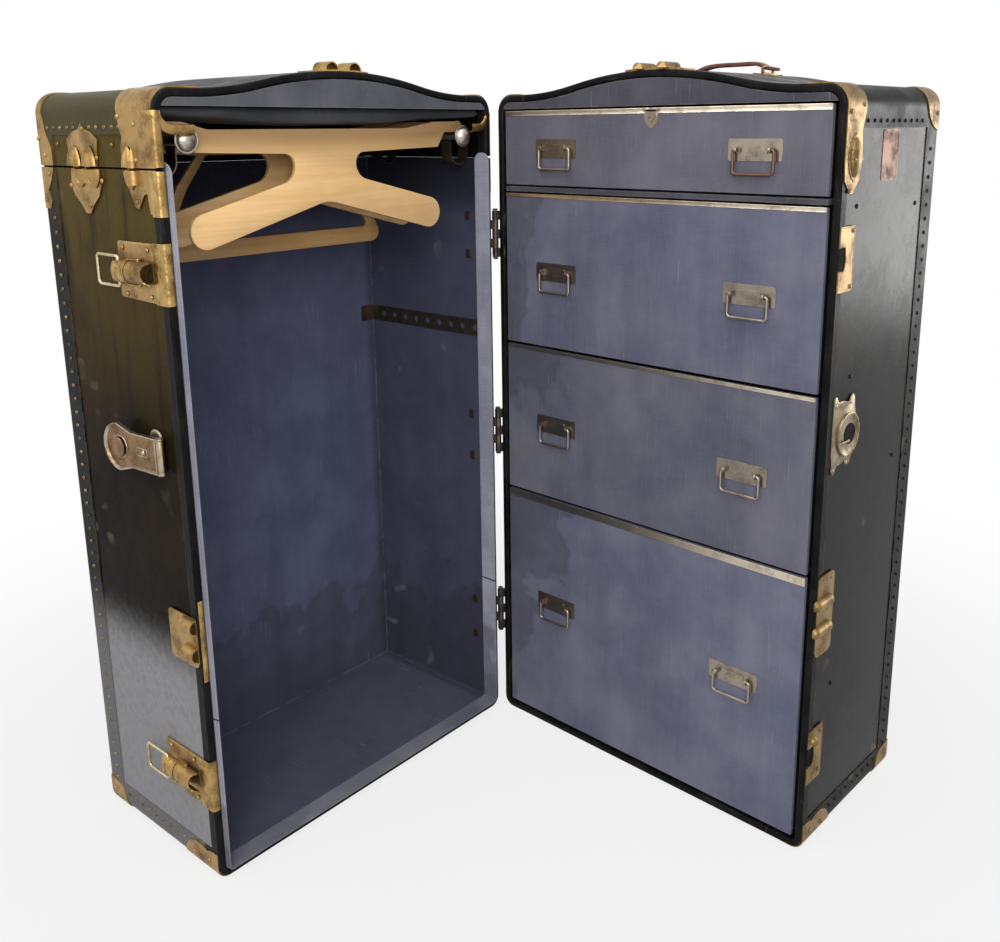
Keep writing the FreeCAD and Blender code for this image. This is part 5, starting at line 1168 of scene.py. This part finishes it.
# %% Rim wraps
def rim_wrap(name, body, far, low, high, material, over=0.0, hinge=False, side=True):
    """A thin sheet round the rim from low to high, carried over the shoulder where over is set.

    It is drawn for the outer wall; for the hinge wall it is turned round. Without its side, only
    the front of the rim is covered.
    """
    turn = -1 if hinge else 1
    out, back = [(3.2, -far), (3.2, -3.4)], [(2.75, -far), (2.75, -3.4)]
    for middle, outer, inner, angles in ((-2.2, 5.4, 4.95, (22.5, 45, 67.5, 90)),
                                         (-5.8, 3.0, 2.6, (90, 112.5, 135, 157.5))):
        for angle in angles:
            across, deep = math.cos(math.radians(angle)), math.sin(math.radians(angle))
            out.append((middle + outer * across, -3.4 + 3.9 * deep))
            back.append((middle + inner * across, -3.4 + 3.45 * deep))
    if not side:
        out, back = out[4:], back[4:]
    wrap = flat_outline([(across, turn * deep) for across, deep in out + back[::-1]])
    pull_out(0, 0, high - low)
    if over:
        bpy.ops.mesh.spin(steps=8, angle=-math.pi / 2, center=(-24, 0, 992 - low), axis=(0, 1, 0))
        pull_out(-over, 0, 0)
        bpy.ops.mesh.select_all(action="SELECT")
        bpy.ops.mesh.remove_doubles(threshold=0.001)
        bpy.ops.mesh.normals_make_consistent(inside=False)
    place = at(9, -0.6, low) @ Matrix.Rotation(math.pi, 4, "Z") if hinge else at(565, 0, low)
    settle(wrap, name, HANGING_HALF @ place, material, body, 50)


rim_wrap("lid_corner_wrap", "lift_top", 30, 985, 992, brass_left, 26)
rim_wrap("lid_side_wrap", "lift_top", 20, 929.5, 984, brass_left)
rim_wrap("case_side_wrap", "hanging_half", 16, 874, 925, beaten_brass)
rim_wrap("lid_hinge_corner_wrap", "lift_top", 14, 985, 992, brass_left, 14, True)
rim_wrap("lid_hinge_wrap", "lift_top", 10, 929.5, 984, brass_left, 0, True)
rim_wrap("case_hinge_wrap", "hanging_half", 10, 874, 925, beaten_brass, 0, True)
rim_wrap("socket_wrap", "hanging_half", 12, 292, 402, beaten_brass, side=False)
for word, middle in BOLTS.items():
    rim_wrap(f"{word}_bolt_wrap", "hanging_half", 24, middle - 36, middle + 36, beaten_brass)
for word, middle in (("upper", 812), ("lower", 142)):
    high, low = middle + 40, middle - 40
    claw = stamp([(3, low), (38, low, 4, 1), (42, low + 4), (42, high - 4, 4, 1), (38, high), (3, high),
                  (3, middle + 15), (12, middle + 15, 5, -1), (19, middle + 10), (21, middle),
                  (19, middle - 10, 5, -1), (12, middle - 14), (3, middle - 14)], 1.6, 0.5, -0.3, 1.8)
    pieces = [move(claw, outer_wall(WALL_OUT))]
    if word == "lower":
        pieces.append(move(stud(9, 8, 24), outer_wall(567.6) @ at(16, middle + 22, 0)))
    catch = settle(weld(pieces), f"{word}_bolt_claw", DRAWER_HALF, brass_right, "drawer_half")
    if word == "upper":
        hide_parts("bolt_catches")
    # A near-black patch behind the claw's notch is painted shade in its opening.
    hollow = stamp(corner_box(2, 20, middle - 13, middle + 14, 5), 0.4, 0)
    settle(hollow, f"{word}_claw_painted_shade", DRAWER_HALF @ outer_wall(WALL_OUT), painted_shade_dark, "drawer_half")
print("wraps and claws fitted")

# %% [markdown]
# The front strap on the drawer half has a pressed boss with a bar across it, where a dowel of the
# other half comes to rest. It is half a ball, stretched upwards, on a thin collar. Pressed bullets
# stand on the shields at the split, one half on the lid and one on the box. Each half is a stretched
# dome that is cut off straight at the split.

# %% Shoulder strap boss and bullets
boss = stud(12, 5.5, 28)
edit(boss)
grow(1, 2.1, 1)
collar = stamp([(0, -29, 33, 1), (0, 29, 33, 1)], 0.8, 0.3)
cross = move(stamp(corner_box(-10.5, 10.5, -1.1, 1.1, 0.8), 1.0, 0.3), at(0, -2, 4.9))
settle(weld([boss, collar, cross]), "shoulder_boss", DRAWER_HALF @ outer_wall(FACE) @ at(27, 932, 0),
       brass_right, "drawer_half")
for name, body, shift, keep, tall, height in (("lid_bullets", "lift_top", 1, 1, 1.75, 929.2),
                                              ("case_bullets", "hanging_half", 0.95, -1, 1.6, 925.3)):
    bullets = []
    for depth, wide in ((59, 0.72), (148, 1.1), (184, 1.1)):
        dome = stud(15, 6.5, 28)
        edit(dome)
        grow(wide, tall, 1)
        cut((0, 0, 0), (0, keep, 0), True)
        bullets.append(move(dome, outer_wall(567.4) @ at(-depth * shift, height, 0)))
    settle(weld(bullets), name, HANGING_HALF, brass_left, body)
print("boss and bullets set")

# %% [markdown]
# A thin dark strip is let into the lower edge of the lift-top, so that no light shows through the
# split when it is shut; its near-black finish is painted shade. It follows three walls as one U-shaped
# outline.
# Where the bolts and hinges pass the wall, their rivets are clinched over small square plates inside.

# %% Strip in the split, clinch plates
strip = flat_outline([(11.5, -4), (11.5, -277.5), (562.5, -277.5), (562.5, -4), (559.5, -4), (559.5, -274.5),
                      (14.5, -274.5), (14.5, -4)])
pull_out(0, 0, 2.4)
# Its near-black finish is painted shade, so the strip shows no lit edge in the split.
settle(strip, "split_strip", HANGING_HALF @ at(0, 0, 926.25), painted_shade_dark, "lift_top")
squares = [stamp(corner_box(-46, -36, z - 7, z + 7, 1.5), 0.8, 0.3, 0.2, 1.0)
           for z in (838, 778, 517, 446, 189, 125)]
settle(weld(squares), "clinch_plates", HANGING_HALF @ outer_wall(18.1), clinch_steel, "hanging_half")
print("split strip let in, clinch plates set")

# %% [markdown]
# The carry handle is thick leather. A flat bar is subdivided along its length, its rows are lifted
# to the curve of a strap that has kept the shape of a hand, and the form is rounded by a subdivision
# that is applied. One end has crept up through its loop.

# %% Leather carry handle
HALF_LONG, ROWS = 76, 16
grip = block((2 * HALF_LONG, 20, 5))
edit()
choose(lambda a, b: abs(a.x - b.x) > 1, "EDGE")
bpy.ops.mesh.subdivide(number_cuts=ROWS - 1)
for row in range(ROWS + 1):
    along = -HALF_LONG + row * 2 * HALF_LONG / ROWS
    lift = 9.5 * max(0.0, 1 - (along / 58) ** 4) + 3.0 * math.exp(-((along - 48) / 16) ** 2)
    sway = 1.2 * math.sin(along / 23)
    choose(lambda place: abs(place.x - along) < 1, "VERT")
    push(0, sway, lift)
    to_end = abs(along / HALF_LONG)
    grow(1, 0.78 + 0.22 * to_end, 1.2 - 0.2 * to_end, (along, sway, lift))
choose(lambda a, b: abs(a.x - b.x) > 1, "EDGE")
round_off(1.2)
apply_modifier(grip, "SUBSURF", levels=1, render_levels=1)
handle = settle(grip, "leather_handle", DRAWER_HALF @ at(287, 205, 1046.9), handle_leather, "drawer_half",
                60)
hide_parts("carry_handle")
print("handle shaped")

# %% [markdown]
# The pad under the lift-top is cotton wadding in dark cloth. A thin closed box is cut into small
# squares, and a short cloth simulation with air pressure in it, and no weight, swells it and draws
# its corners in. Afterwards the middle is pulled down softly, where the pad has sagged with age. The
# simulation works in metres, so the box gets its millimetres only when it has swelled.

# %% Lift-top pad
PAD, MOMENTS = (532, 250, 20), 20
pad = block((0.512, 0.236, 0.012))
edit()
choose(lambda a, b: abs(a.x - b.x) > 0.1, "EDGE")
bpy.ops.mesh.subdivide(number_cuts=59)
choose(lambda a, b: abs(a.y - b.y) > 0.1, "EDGE")
bpy.ops.mesh.subdivide(number_cuts=27)
begin(pad)
swell = pad.modifiers.new("swell", "CLOTH")
swell.settings.use_pressure = True
swell.settings.uniform_pressure_force = 0.25
swell.settings.effector_weights.gravity = 0
swell.point_cache.frame_end = MOMENTS
for moment in range(1, MOMENTS + 1):
    bpy.context.scene.frame_set(moment)
bpy.ops.object.modifier_apply(modifier="swell")
bpy.context.scene.frame_set(1)
corners = pad.data.vertices
size = [max(corner.co[axis] for corner in corners) - min(corner.co[axis] for corner in corners)
        for axis in range(3)]
print("pad swelled to", [round(length, 3) for length in size])
edit()
grow(*(wanted / length for wanted, length in zip(PAD, size)))
begin()
for corner in pad.data.vertices:
    sag = math.exp(-((corner.co.x - 12) / 150) ** 4) * (0.6 + 0.4 * corner.co.y / 125)
    if corner.co.z < 0:
        corner.co.z -= 8 * sag
    corner.co.z += 0.5 * math.sin(corner.co.x / 17 + corner.co.y / 29)
apply_modifier(pad, "SUBSURF", levels=1, render_levels=1)
cushion = settle(pad, "lift_top_pad", HANGING_HALF @ at(287, -137, 991.6), cushion_cloth, "lift_top",
                 80)
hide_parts("lift_top_cushion")
print("pad made")

# %% Clear the patterns away
for pattern in (nail, rivet):
    bpy.data.objects.remove(pattern)
print("the two patterns are gone, their copies stay")
